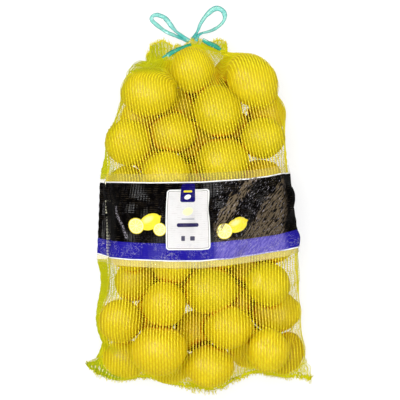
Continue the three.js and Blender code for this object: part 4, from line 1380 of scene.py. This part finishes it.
class Nodes:
    """Short ways to add nodes to a node tree. Each returns the new node's output."""

    def __init__(self, tree):
        self.nodes, self.links = tree.nodes, tree.links

    def put(self, value, socket):
        """Links a node's output to a socket, or sets a plain number or colour on it."""
        if isinstance(value, bpy.types.NodeSocket):
            self.links.new(value, socket)
        else:
            socket.default_value = value

    def node(self, kind, sockets=(), output=0, **properties):
        """Adds a node with its properties, fills its input sockets, and returns one output."""
        node = self.nodes.new("ShaderNode" + kind)
        for name, value in properties.items():
            setattr(node, name, value)
        for name, value in dict(sockets).items():
            self.put(value, node.inputs[name])
        return node.outputs[output]

    def math(self, operation, *values, clamp=False):
        """One step of arithmetic on numbers or outputs."""
        return self.node("Math", enumerate(values), operation=operation, use_clamp=clamp)

    def linear(self, value, start, end):
        """0 at start and 1 at end, in a straight line. It falls with the value if end is below start."""
        away = self.math("SUBTRACT", *((value, start) if end > start else (start, value)))
        return self.math("MULTIPLY", away, 1 / abs(end - start), clamp=True)

    def mix(self, share, low, high):
        """Colour low where the share is 0, and high where it is 1."""
        return self.node("Mix", {"Factor": share, 6: low, 7: high}, 2, data_type="RGBA")

    def ramp(self, value, stops):
        """Colours at stops from 0 to 1."""
        colour = self.node("ValToRGB", {"Fac": value}, "Color")
        elements = colour.node.color_ramp.elements
        while len(elements) < len(stops):
            elements.new(0.5)
        for element, (at, stop) in zip(elements, stops):
            element.position, element.color = at, stop
        return colour

    def noise(self, vector, scale, detail=2.0):
        """Cloudy noise, around 0.5."""
        return self.node("TexNoise", {"Vector": vector, "Scale": scale, "Detail": detail}, "Fac")

# %% Patches
def patch_group():
    """A node group for ragged patches: mask = (noise - level) * gain, kept between 0 and 1."""
    group = bpy.data.node_groups.new("ragged_patches", "ShaderNodeTree")
    group.interface.new_socket("Vector", in_out="INPUT", socket_type="NodeSocketVector")
    for name in ("Scale", "Detail", "Level", "Gain"):
        group.interface.new_socket(name, in_out="INPUT", socket_type="NodeSocketFloat")
    group.interface.new_socket("Mask", in_out="OUTPUT", socket_type="NodeSocketFloat")
    given, result = group.nodes.new("NodeGroupInput").outputs, group.nodes.new("NodeGroupOutput").inputs
    g = Nodes(group)
    above = g.math("SUBTRACT", g.noise(given["Vector"], given["Scale"], given["Detail"]), given["Level"])
    g.put(g.math("MULTIPLY", above, given["Gain"], clamp=True), result["Mask"])
    print("node group:", group.name)
    return group


PATCHES = patch_group()

# %% Shader helpers
class Shader(Nodes):
    """One material's nodes."""

    def __init__(self, name):
        self.material = bpy.data.materials.new(name)
        self.material.use_nodes = True
        super().__init__(self.material.node_tree)
        self.surface = self.nodes["Principled BSDF"]

    def attribute(self, name):
        """A number stored in the mesh."""
        return self.node("Attribute", output="Fac", attribute_name=name)

    def object_coordinates(self):
        """Metres in the part's own frame."""
        return self.node("TexCoord", output="Object")

    def patches(self, vector, scale, detail, level, gain):
        """Ragged patches: 1 inside, 0 outside, with an edge that is sharper for a higher gain."""
        values = {"Vector": vector, "Scale": scale, "Detail": detail, "Level": level, "Gain": gain}
        return self.node("Group", values, "Mask", node_tree=PATCHES)

    def cells(self, vector, scale, feature="F1"):
        """Distance to the nearest of scattered points, or to the edge between two."""
        return self.node("TexVoronoi", {"Vector": vector, "Scale": scale}, "Distance", feature=feature)

    def bump(self, height, distance, strength, *normal):
        """A normal tilted by a height of so many metres, over another normal if there is one."""
        sockets = {"Height": height, "Distance": distance, "Strength": strength}
        return self.node("Bump", {**sockets, **dict(zip(["Normal"], normal))}, "Normal")

    def set(self, **values):
        """Sets or links sockets of the Principled shader: Base_Color=... means Base Color."""
        for name, value in values.items():
            self.put(value, self.surface.inputs[name.replace("_", " ")])

# %% [markdown]
# ### Lemon peel
# Peel is waxy, with pores about 1.5 mm apart over low lumps, and a little light goes into it. Each lemon
# has its own ripeness, its two ends are greener, and the one at the lower right is painted deeper as shade.
# Deep in the pack painted shade takes its colour through orange to brown by the stored shade value, and
# its gloss fades there, because there is nothing bright to reflect.

# %% Lemon peel
# The lowest stop darkens the lemon at the lower right, as painted shade.
RIPENESS = [(0.0, srgb(192, 156, 0)), (0.2, srgb(213, 194, 1)), (0.55, srgb(224, 199, 1)),
            (0.9, srgb(229, 196, 1))]
CREVICE_SHADE_COLOURS = [(0.0, srgb(236, 208, 2)), (0.16, srgb(232, 178, 2)), (0.42, srgb(212, 122, 3)),
                 (0.74, srgb(94, 34, 0))]
MOTTLE_COLOUR, END_COLOUR = srgb(206, 176, 0), srgb(196, 182, 20)
PORES_PER_METRE, LUMPS_PER_METRE = 620, 130


def lemon_material():
    """Ripeness, mottle, ends and painted crevice shade, laid over each other, with pores on lumps as the
    bump.
    """
    s = Shader("lemon_peel")
    where = s.object_coordinates()
    ripe = s.math("MULTIPLY_ADD", s.attribute("tint"), 0.6, s.math("MULTIPLY", s.noise(where, 42, 3), 0.5))
    mottle = s.patches(where, 480, 3, 0.45, 4.0)
    colour = s.mix(s.math("MULTIPLY", mottle, 0.22), s.ramp(ripe, RIPENESS), MOTTLE_COLOUR)
    ends = s.math("POWER", s.math("ABSOLUTE", s.attribute("position")), 14.0)
    colour = s.mix(s.math("MULTIPLY", ends, 0.35), colour, END_COLOUR)
    # Painted crevice shade: the peel goes through orange to brown, and its gloss fades.
    crevice_shade = s.attribute("crevice_shade")
    colour = s.mix(s.math("MULTIPLY", crevice_shade, 4.0, clamp=True), colour, s.ramp(crevice_shade, CREVICE_SHADE_COLOURS))
    pores, lumps = s.cells(where, PORES_PER_METRE), s.noise(where, LUMPS_PER_METRE, 2)
    normal = s.bump(pores, 0.0009, 0.45, s.bump(lumps, 0.0018, 0.5))
    gloss = s.math("MULTIPLY_ADD", crevice_shade, -0.9, 0.3, clamp=True)
    s.set(Base_Color=colour, Normal=normal, Roughness=0.36, Specular_IOR_Level=gloss,
          Subsurface_Weight=0.1, Subsurface_Radius=(0.004, 0.0035, 0.001), Subsurface_Scale=1.0)
    return s.material

# %% [markdown]
# ### Net and thread
# The net's plastic is thin and lets light through. Transmission would need many bounces in so many strands,
# so the light that comes through is a faint glow of its own colour instead, where the net is lime or
# crowded. The sewing thread is matt and cream, with a fine twist.

# %% Net plastic
# Each pair is over fruit, then over a gap: the pillars' paler gap colour is painted light, the cross threads'
# brown one painted shade.
PILLAR_COLOURS_AND_GAP_LIGHT = srgb(254, 238, 42), srgb(253, 226, 70)
CROSS_COLOURS_AND_GAP_SHADE = srgb(234, 204, 4), srgb(160, 92, 12)
LIME_COLOURS = [(0.0, srgb(236, 218, 4)), (0.6, srgb(204, 196, 0)), (1.0, srgb(118, 142, 0))]


def net_material():
    """Yellow over fruit, with painted light on the pillars and painted shade on the cross threads over gaps,
    lime where the stored values say so or where pillars crowd.
    """
    s = Shader("net_plastic")
    over_gap, lime = s.attribute("over_gap"), s.attribute("lime")
    crowd = s.math("MULTIPLY", s.math("SUBTRACT", s.attribute("dense"), 1.0), 0.9, clamp=True)
    lime = s.math("MAXIMUM", lime, crowd)
    pillar, cross = s.mix(over_gap, *PILLAR_COLOURS_AND_GAP_LIGHT), s.mix(over_gap, *CROSS_COLOURS_AND_GAP_SHADE)
    colour = s.mix(s.attribute("cross_thread"), pillar, cross)
    colour = s.mix(lime, colour, s.ramp(s.math("MULTIPLY", lime, 0.6), LIME_COLOURS))
    streak = s.noise(s.object_coordinates(), 260, 2)
    colour = s.mix(s.math("MULTIPLY", streak, 0.06), colour, srgb(255, 244, 110))
    through = s.mix(s.math("MULTIPLY", lime, 0.9, clamp=True), (0, 0, 0, 1), srgb(222, 216, 0))
    s.set(Base_Color=colour, Emission_Color=through, Emission_Strength=0.24, Roughness=0.4, Alpha=0.96,
          Specular_IOR_Level=0.08)
    return s.material


def thread_material():
    """Cream thread, streaked by its twist."""
    s = Shader("sewing_thread")
    twist = s.noise(s.object_coordinates(), 900, 1)
    s.set(Base_Color=s.mix(twist, srgb(252, 250, 230), srgb(238, 232, 186)), Roughness=0.6)
    return s.material

# %% [markdown]
# ### Drawstring tape
# The tape is turquoise and see-through. It is deeper along its rims, along a crumpled fold line and where
# it lies doubled, and small places have painted glints. Glass would darken it against the white floor, so
# plain alpha does it. Along the mouth it lies over the net, and needs a deeper version to show.

# %% Drawstring tape
TAPE_COLOURS = srgb(132, 232, 222), srgb(14, 142, 140), srgb(56, 190, 184)
DEEP_TAPE_COLOURS = srgb(70, 200, 170), srgb(10, 120, 108), srgb(24, 158, 134)
RIM_FROM, FOLD_LINE_AT = 0.55, 0.3


def tape_material(name, colours, thinnest):
    """A pale middle, a deep rim, a rich tone where it is doubled and painted glints. thinnest is its least
    alpha.
    """
    s = Shader(name)
    pale, rim, rich = colours
    across, doubled = s.attribute("across"), s.attribute("doubled")
    where = s.object_coordinates()
    rim_line = s.math("MULTIPLY", s.math("SUBTRACT", across, RIM_FROM), 3.0, clamp=True)
    from_fold = s.math("ABSOLUTE", s.math("SUBTRACT", across, FOLD_LINE_AT))
    fold = s.math("SUBTRACT", 1.0, s.math("MULTIPLY", from_fold, 7.0), clamp=True)
    line = s.math("MAXIMUM", rim_line, s.math("MULTIPLY", fold, s.patches(where, 150, 2, 0.48, 6.0)))
    colour = s.mix(s.math("MULTIPLY", doubled, 0.7), pale, rich)
    colour = s.mix(s.math("MULTIPLY", line, 0.92), colour, rim)
    # Painted glints: small pale patches on the tape.
    glint = s.patches(where, 420, 3, 0.62, 9.0)
    colour = s.mix(s.math("MULTIPLY", glint, 0.7), colour, srgb(236, 250, 246))
    alpha = s.math("MULTIPLY_ADD", doubled, 0.3, thinnest)
    alpha = s.math("ADD", alpha, s.math("MULTIPLY", line, 0.45), clamp=True)
    normal = s.bump(s.noise(where, 300, 2), 0.0008, 0.6)
    s.set(Base_Color=colour, Alpha=alpha, Roughness=0.25, Normal=normal, Specular_IOR_Level=0.35)
    return s.material

# %% [markdown]
# ### The print on the film
# The print is worked out from u and v, millimetres across the film and up it, because an image would blur
# close up. A box mask is 1 inside a rectangle with rounded corners: its distance is
# length(max(|p - centre| - (half size - r), 0)) - r. An ellipse mask compares (x/a)^2 + (y/b)^2 with 1 on
# axes turned by an angle. Each shape is laid over the last.

# %% Print masks
class FilmShader(Shader):
    """The film's material, with masks for flat shapes, from u and v in millimetres."""

    def __init__(self, name):
        super().__init__(name)
        uv = self.node("UVMap", output="UV", uv_map="print")
        self.u, self.v = (self.math("MULTIPLY", self.node("SeparateXYZ", {0: uv}, k), 100.0) for k in (0, 1))
        self.flat = self.node("CombineXYZ", {0: self.u, 1: self.v})
        turn = {"Vector": self.flat, "Rotation": (0, 0, float(FOLD_TURN))}
        self.folded = self.node("Mapping", turn, vector_type="TEXTURE")

    def across_folds(self):
        """Millimetres across the long folds' direction."""
        return self.node("SeparateXYZ", {0: self.folded}, 1)

    def streaked(self, along_scale, across_scale):
        """The film's place, scaled along and across the long folds, so that noise becomes streaks."""
        return self.node("Mapping", {"Vector": self.folded, "Scale": (along_scale, across_scale, 1)})

    def edge(self, distance, soft=0.35):
        """1 where the distance is negative, 0 where it is positive, with a soft step."""
        return self.math("MULTIPLY_ADD", distance, -1 / soft, 0.5, clamp=True)

    def stripe(self, low, high):
        """1 between two heights."""
        away = self.math("ABSOLUTE", self.math("SUBTRACT", self.v, (low + high) / 2))
        return self.edge(self.math("SUBTRACT", away, (high - low) / 2))

    def from_centre(self, centre):
        """u and v, counted from a centre."""
        return self.math("SUBTRACT", self.u, centre[0]), self.math("SUBTRACT", self.v, centre[1])

    def box(self, centre, half, radius):
        """Distance to a rounded rectangle, in millimetres."""
        m = self.math
        du, dv = self.from_centre(centre)
        x = m("MAXIMUM", m("SUBTRACT", m("ABSOLUTE", du), half[0] - radius), 0.0)
        y = m("MAXIMUM", m("SUBTRACT", m("ABSOLUTE", dv), half[1] - radius), 0.0)
        return m("SUBTRACT", m("SQRT", m("ADD", m("MULTIPLY", x, x), m("MULTIPLY", y, y))), radius)

    def turned(self, centre, angle):
        """Place on axes turned by an angle about a centre."""
        m, c, s = self.math, float(np.cos(angle)), float(np.sin(angle))
        du, dv = self.from_centre(centre)
        x = m("ADD", m("MULTIPLY", du, c), m("MULTIPLY", dv, s))
        y = m("SUBTRACT", m("MULTIPLY", dv, c), m("MULTIPLY", du, s))
        return x, y

    def ellipse(self, centre, half, angle=0.0):
        """Distance-like value of an ellipse, in millimetres: (sqrt((x/a)^2 + (y/b)^2) - 1) * b."""
        m, (a, b) = self.math, half
        x, y = self.turned(centre, angle)
        far = m("SQRT", m("ADD", m("POWER", m("DIVIDE", x, a), 2.0), m("POWER", m("DIVIDE", y, b), 2.0)))
        return m("MULTIPLY", m("SUBTRACT", far, 1.0), b)

    def wedge_lines(self, centre, parts, half_width):
        """1 on the thin spokes between a slice's wedges."""
        m = self.math
        x, y = self.turned(centre, 0.3)
        turn = m("MULTIPLY", m("ARCTAN2", y, x), parts / (2 * np.pi))
        offset = m("ABSOLUTE", m("SUBTRACT", m("FRACT", turn), 0.5))
        far = m("SQRT", m("ADD", m("MULTIPLY", x, x), m("MULTIPLY", y, y)))
        arc = m("MULTIPLY", m("MULTIPLY", m("SUBTRACT", 0.5, offset), far), 2 * np.pi / parts)
        return self.edge(m("SUBTRACT", arc, half_width))

# %% Print layout
CLEAR, BLACK, NAVY, BLUE = srgb(255, 242, 160), srgb(5, 4, 4), srgb(18, 12, 100), srgb(34, 27, 146)
WHITE, PANEL_WHITE, FRAME_GREY = srgb(250, 250, 246), srgb(222, 220, 219), srgb(120, 116, 108)
LEMON_PRINT, PALE_PRINT = srgb(242, 222, 60), srgb(250, 246, 190)
BAR_BLUE, BAR_GREY, SYMBOL_GREY = srgb(44, 40, 84), srgb(176, 176, 182), srgb(70, 68, 90)
PRINT_FROM, PRINT_TO, WHITE_LINE = 9.0, 116.0, 1.6
BLUE_FROM, BLUE_TO = 10.0, 33.0
PANEL_AT = (0, 65)
BOX, OVAL = FilmShader.box, FilmShader.ellipse
# shape, centre, half size, corner radius or angle, ink: badge, its bar and oval, lemon, two bars, two symbols
LABEL = [
    (BOX, (0, 101), (10.8, 12.5), 3, NAVY), (BOX, (0, 103), (6.5, 1.3), 1.2, LEMON_PRINT),
    (OVAL, (0, 95.5), (5.0, 3.1), 0.3, WHITE), (OVAL, (0, 76), (7.5, 5.0), 0.35, PALE_PRINT),
    (BOX, (0, 58), (15, 2.6), 2.4, BAR_BLUE), (BOX, (0, 66), (9, 1.0), 0.9, BAR_GREY),
    (BOX, (-6.5, 40), (2.6, 3.4), 1, SYMBOL_GREY), (BOX, (6.5, 40), (3.2, 3.0), 1, SYMBOL_GREY),
]


def slice_print(p, colour, centre, radius):
    """A cut lemon: rind, pale pith, wedges with thin pale lines between them."""
    rim = p.ellipse(centre, (radius, radius))
    colour = p.mix(p.edge(rim), colour, LEMON_PRINT)
    colour = p.mix(p.edge(p.math("ADD", rim, 1.1)), colour, PALE_PRINT)
    inside = p.edge(p.math("ADD", rim, 2.4))
    colour = p.mix(p.math("MULTIPLY", inside, 0.75), colour, srgb(244, 232, 110))
    lines = p.math("MULTIPLY", inside, p.wedge_lines(centre, 9, 0.35))
    return p.mix(lines, colour, PALE_PRINT)


def whole_print(p, colour, centre, a, b, angle):
    """A whole lemon: an ellipse with a small one at its tip and a lighter patch."""
    x, y = centre
    tip = (x + 0.98 * a * float(np.cos(angle)), y + 0.98 * a * float(np.sin(angle)))
    colour = p.mix(p.edge(p.ellipse(tip, (2.4, 1.9), angle)), colour, srgb(226, 200, 40))
    colour = p.mix(p.edge(p.ellipse(centre, (a, b), angle)), colour, LEMON_PRINT)
    light = p.edge(p.ellipse((x - 0.2 * a, y + 0.3 * b), (a * 0.45, b * 0.35), angle), 3.0)
    return p.mix(p.math("MULTIPLY", light, 0.6), colour, PALE_PRINT)


def artwork(p):
    """The print from bottom to top: black ground, blue stripe, white panel, its label, fruit, white lines."""
    colour = p.mix(p.stripe(BLUE_FROM, BLUE_TO), BLACK, BLUE)
    colour = p.mix(p.edge(p.box(PANEL_AT, (30.5, 40.5), 4)), colour, WHITE)
    frame = p.box(PANEL_AT, (28.9, 38.9), 3)
    colour = p.mix(p.edge(frame), colour, FRAME_GREY)
    colour = p.mix(p.edge(p.math("ADD", frame, 0.7)), colour, PANEL_WHITE)
    for shape, centre, half, value, ink in LABEL:
        colour = p.mix(p.edge(shape(p, centre, half, value)), colour, ink)
    colour = whole_print(p, colour, (-52, 62), 15, 10.5, 0.5)
    colour = slice_print(p, colour, (-71, 56), 11)
    colour = slice_print(p, colour, (-39, 52), 9)
    colour = whole_print(p, colour, (69, 54), 14, 10, 0.35)
    colour = slice_print(p, colour, (51, 47), 11)
    lower, upper = p.stripe(PRINT_FROM, PRINT_FROM + WHITE_LINE), p.stripe(PRINT_TO - WHITE_LINE, PRINT_TO)
    return p.mix(p.math("MAXIMUM", lower, upper), colour, WHITE)

# %% [markdown]
# ### Painted reflections, highlight and scribbles on the film
# What one sees of glossy film is mostly torn streaks of light along its folds. Reflections alone would need
# each lamp in its exact place, so the streaks are painted reflections in the film's colour: patches of
# noise, stretched along the folds, on the loose part only. A slanting painted highlight, fine scribbles and
# painted light on the ribs of the knit below are added.

# %% Light in the folds
LOOSE_FROM, LOOSE_TO = (34.0, 42.0), (140.0, 130.0)


def fold_light(p, facets):
    """Painted reflections: streaks on the middle fold, beyond the outer fold and low down, and glints between
    them, on the loose part only. A fold's distance is made ragged by noise. Returns the streaks and the
    glints."""
    m, across = p.math, p.across_folds()
    ragged = m("MULTIPLY", m("SUBTRACT", p.noise(p.streaked(0.07, 0.22), 1.0, 5), 0.5), 30.0)
    middle_fold = m("ABSOLUTE", m("ADD", m("SUBTRACT", across, 1.0), ragged))
    middle_fold = m("MULTIPLY_ADD", middle_fold, -1 / 2.2, 3.6, clamp=True)
    outer_fold = m("MULTIPLY", m("ADD", m("ADD", across, 36.0), ragged), -1 / 3, clamp=True)
    outer_fold = m("MULTIPLY", outer_fold, 0.8)
    low_fold = p.linear(p.v, 38.0, 30.0)
    lit = m("MAXIMUM", m("MAXIMUM", middle_fold, outer_fold), low_fold)
    loose = m("MULTIPLY", p.linear(p.u, *LOOSE_FROM), p.linear(p.u, *LOOSE_TO))
    reflection_breakup = p.patches(p.streaked(0.13, 0.5), 1.0, 5, 0.44, 14.0)
    reflection_breakup = m("MAXIMUM", reflection_breakup, m("MULTIPLY", low_fold, 0.6))
    lit = m("MULTIPLY", m("MULTIPLY", m("MULTIPLY", lit, loose), reflection_breakup), m("MULTIPLY_ADD", facets, 0.7, 0.5))
    glints = m("MULTIPLY", m("MULTIPLY", p.patches(p.streaked(0.2, 0.7), 1.0, 4, 0.6, 12.0), loose), 0.55)
    return lit, glints

# %% Painted highlight and scribbles
def slant_highlight_and_scribbles(p):
    """One long slanting painted highlight at the left, and thin scribbles where a noise crosses 0.5."""
    m = p.math
    slant = m("MULTIPLY", m("SUBTRACT", p.v, 80.0), 0.43)
    away = m("ABSOLUTE", m("ADD", m("ADD", p.u, 103.0), slant))
    slant_highlight = m("MULTIPLY_ADD", away, -1 / 2.2, 1.6, clamp=True)
    slant_highlight = m("MULTIPLY", slant_highlight, p.stripe(38.0, 82.0))
    slant_highlight = m("MULTIPLY", slant_highlight, p.patches(p.flat, 0.55, 4, 0.47, 9.0))
    line = m("ABSOLUTE", m("SUBTRACT", p.noise(p.flat, 0.22, 4), 0.5))
    scribble = m("MULTIPLY_ADD", line, -60.0, 1.0, clamp=True)
    scribble = m("MULTIPLY", scribble, p.patches(p.flat, 0.045, 2, 0.47, 9.0))
    return slant_highlight, m("MULTIPLY", scribble, m("MULTIPLY_ADD", p.stripe(-5.0, BLUE_TO), 0.7, 0.06))


def relief(p, facets, ribs):
    """The film's bump: fine crumple on folds on the pressed-through knit. Returns it and the fine crumple."""
    m = p.math
    loose_side = p.linear(p.u, 35.0, 80.0)
    crumple = p.cells(p.flat, 0.17, "DISTANCE_TO_EDGE")
    fine = m("MULTIPLY", p.noise(p.flat, 0.5, 3), m("MULTIPLY_ADD", loose_side, 0.8, 0.2))
    folds = m("ADD", m("MULTIPLY", crumple, 0.8), facets)
    folds = m("MULTIPLY", folds, m("MULTIPLY_ADD", loose_side, 0.9, 0.1))
    posts = m("SINE", m("MULTIPLY", p.u, 2 * np.pi / PILLAR_SPACING))
    knit_bump = p.bump(m("MULTIPLY_ADD", ribs, 0.9, posts), 0.00014, 0.5)
    return p.bump(fine, 0.0006, 0.5, p.bump(folds, 0.0022, 0.7, knit_bump)), fine

# %% Printed film
def film_material():
    """The artwork, clear film beyond it with a little haze, then painted reflections, a painted highlight and
    scribbles on the printed part.
    """
    p = FilmShader("printed_film")
    m = p.math
    printed = p.stripe(PRINT_FROM, PRINT_TO)
    colour = p.mix(m("SUBTRACT", 1.0, printed), artwork(p), CLEAR)
    haze = m("MULTIPLY_ADD", p.stripe(-5.0, PRINT_FROM), 0.2, 0.07)
    facets = p.noise(p.streaked(0.1, 0.4), 1.0, 3)
    lit, glints = fold_light(p, facets)
    slant_highlight, scribble = slant_highlight_and_scribbles(p)
    ribs = m("SINE", m("MULTIPLY", p.v, 4 * np.pi / COURSE_SPACING))
    rib_light = m("MULTIPLY_ADD", ribs, 2.0, -1.0, clamp=True)
    rib_light = m("MULTIPLY", rib_light, p.patches(p.flat, 0.12, 2, 0.47, 5.0))
    # Painted reflections on the folds and the knit's ribs: brownish grey on the black, lavender on the blue
    # stripe.
    reflection_colour = p.mix(p.stripe(-5.0, BLUE_TO), srgb(112, 98, 78), srgb(118, 108, 192))
    painted_reflection = m("MAXIMUM", lit, m("MULTIPLY", rib_light, 0.24))
    colour = p.mix(m("MULTIPLY", painted_reflection, printed), colour, reflection_colour)
    # Painted glints and the slanting painted highlight, with the pale scribbles, lighten the printed part.
    bright = m("MAXIMUM", m("MAXIMUM", scribble, glints), m("MULTIPLY", slant_highlight, 0.6))
    colour = p.mix(m("MULTIPLY", bright, printed), colour, srgb(186, 180, 190))
    normal, fine = relief(p, facets, ribs)
    p.set(Base_Color=colour, Alpha=m("MAXIMUM", printed, haze), Roughness=m("MULTIPLY_ADD", fine, 0.1, 0.06),
          Normal=normal, Specular_IOR_Level=0.04)
    return p.material


LEMON = lemon_material()
NET = net_material()
THREAD = thread_material()
FILM = film_material()
TAPE = tape_material("drawstring_tape", TAPE_COLOURS, 0.56)
TAPE_DEEP = tape_material("drawstring_tape_doubled", DEEP_TAPE_COLOURS, 0.92)
print("materials:", [(m.name, len(m.node_tree.nodes)) for m in (LEMON, NET, THREAD, FILM, TAPE, TAPE_DEEP)])

# %% [markdown]
# ## Floor and light
# The floor is a plain white sheet, lit from behind as well, as a light table is, so the net's open places
# stay bright. It is left out of bounced light and of gloss, because it would tint the fruit and shine back
# from the film. Most light is soft, from a dome that is a little darker below. A large lamp overhead shapes
# the fruit, and two more are only what glossy surfaces reflect. The dome is nearly black to gloss, so black
# print stays black.

# %% Floor
FLOOR_HALF_SIZE = 6000.0
FLOOR_GREY, FLOOR_GLOW = 0.28, 0.74


def floor():
    """A square far larger than the view, which glows a little."""
    size = FLOOR_HALF_SIZE
    corners = np.array([(-size, -size, 0), (size, -size, 0), (size, size, 0), (-size, size, 0)], float)
    obj = mesh_object("floor", corners, np.array([[0, 1, 2, 3]]))
    s = Shader("floor_paper")
    s.set(Base_Color=(FLOOR_GREY, FLOOR_GREY, FLOOR_GREY, 1), Roughness=0.85, Specular_IOR_Level=0.0,
          Emission_Color=(1, 1, 1, 1), Emission_Strength=FLOOR_GLOW)
    obj.data.materials.append(s.material)
    obj.visible_diffuse = False
    obj.visible_glossy = False


floor()

# %% Lamps
LAMP_TARGET = (0, 0, 0.05)


def area_light(name, location, size, power, lights_surfaces, shows_in_gloss, colour=(1, 1, 1)):
    """A round lamp that looks at the bag's middle, and that the camera doesn't see."""
    data = bpy.data.lights.new(name, "AREA")
    data.shape = "DISK"
    data.size, data.energy, data.color = size, power, colour
    obj = bpy.data.objects.new(name, data)
    obj.location = location
    obj.rotation_euler = Vector(np.array(LAMP_TARGET) - location).to_track_quat("-Z", "Y").to_euler()
    obj.visible_diffuse = lights_surfaces
    obj.visible_glossy = shows_in_gloss
    obj.visible_camera = False
    bpy.context.scene.collection.objects.link(obj)
    print(f"lamp {name}: {power} W")


area_light("key", (-0.4, 0.35, 2.8), 1.5, 34, True, False)
area_light("fold", (0.9, -0.6, 1.9), 0.8, 40, False, True, (1, 0.92, 0.8))
area_light("gleam", (-1.6, 0.6, 2.1), 1.1, 110, False, True)

# %% Dome
# how bright the dome is, by height: 0 is straight down, 0.5 the horizon and 1 straight up
DOME_GREYS = ((0.0, 0.7), (0.46, 0.85), (0.5, 0.85), (1.0, 0.9))
DOME_STRENGTH, DOME_IN_GLOSS = 1.05, 0.07


def dome():
    """The world: a grey ramp over the direction's height, and one dark grey for glossy rays."""
    world = bpy.data.worlds.new("studio")
    bpy.context.scene.world = world
    world.use_nodes = True
    w = Nodes(world.node_tree)
    height = w.node("SeparateXYZ", {0: w.node("TexCoord", output="Generated")}, 2)
    upness = w.node("MapRange", {"From Min": -1.0, "Value": height})
    greys = w.ramp(upness, [(at, (grey, grey, grey, 1)) for at, grey in DOME_GREYS])
    in_gloss = (DOME_IN_GLOSS, DOME_IN_GLOSS, DOME_IN_GLOSS, 1)
    background = w.nodes["Background"].inputs
    w.put(w.mix(w.node("LightPath", output="Is Glossy Ray"), greys, in_gloss), background["Color"])
    background["Strength"].default_value = DOME_STRENGTH
    print("dome strength", DOME_STRENGTH)


dome()
bpy.context.scene.view_settings.view_transform = "Standard"

# %% [markdown]
# ## Dress
# Every piece gets its material and rides on the bag's one body, and the frame's solids that it stands for
# are hidden. The two loops are limp cords that lie loose.

# %% Dress
def dress(obj, finish, slot, *stands_for):
    """Material, body, slot (not used), and the frame's nodes that the piece replaces."""
    obj.data.materials.append(finish)
    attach(obj, "root")
    if stands_for:
        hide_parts(*stands_for)


dress(lemons, LEMON, "lemon", "net_bag")
for obj in net_pieces:
    dress(obj, NET, "net")
dress(thread, THREAD, "net")
dress(band_thread, THREAD, "net")
dress(hem_dashes, THREAD, "net")
dress(film_band, FILM, "film", "label_band")
dress(film_fin, FILM, "film")
for side_name, obj in run_objects.items():
    dress(obj, TAPE_DEEP, "tape", f"drawstring_run_{side_name}")
for side_name, (obj, path, length) in loop_objects.items():
    dress(obj, TAPE, "tape", f"drawstring_loop_{side_name}")
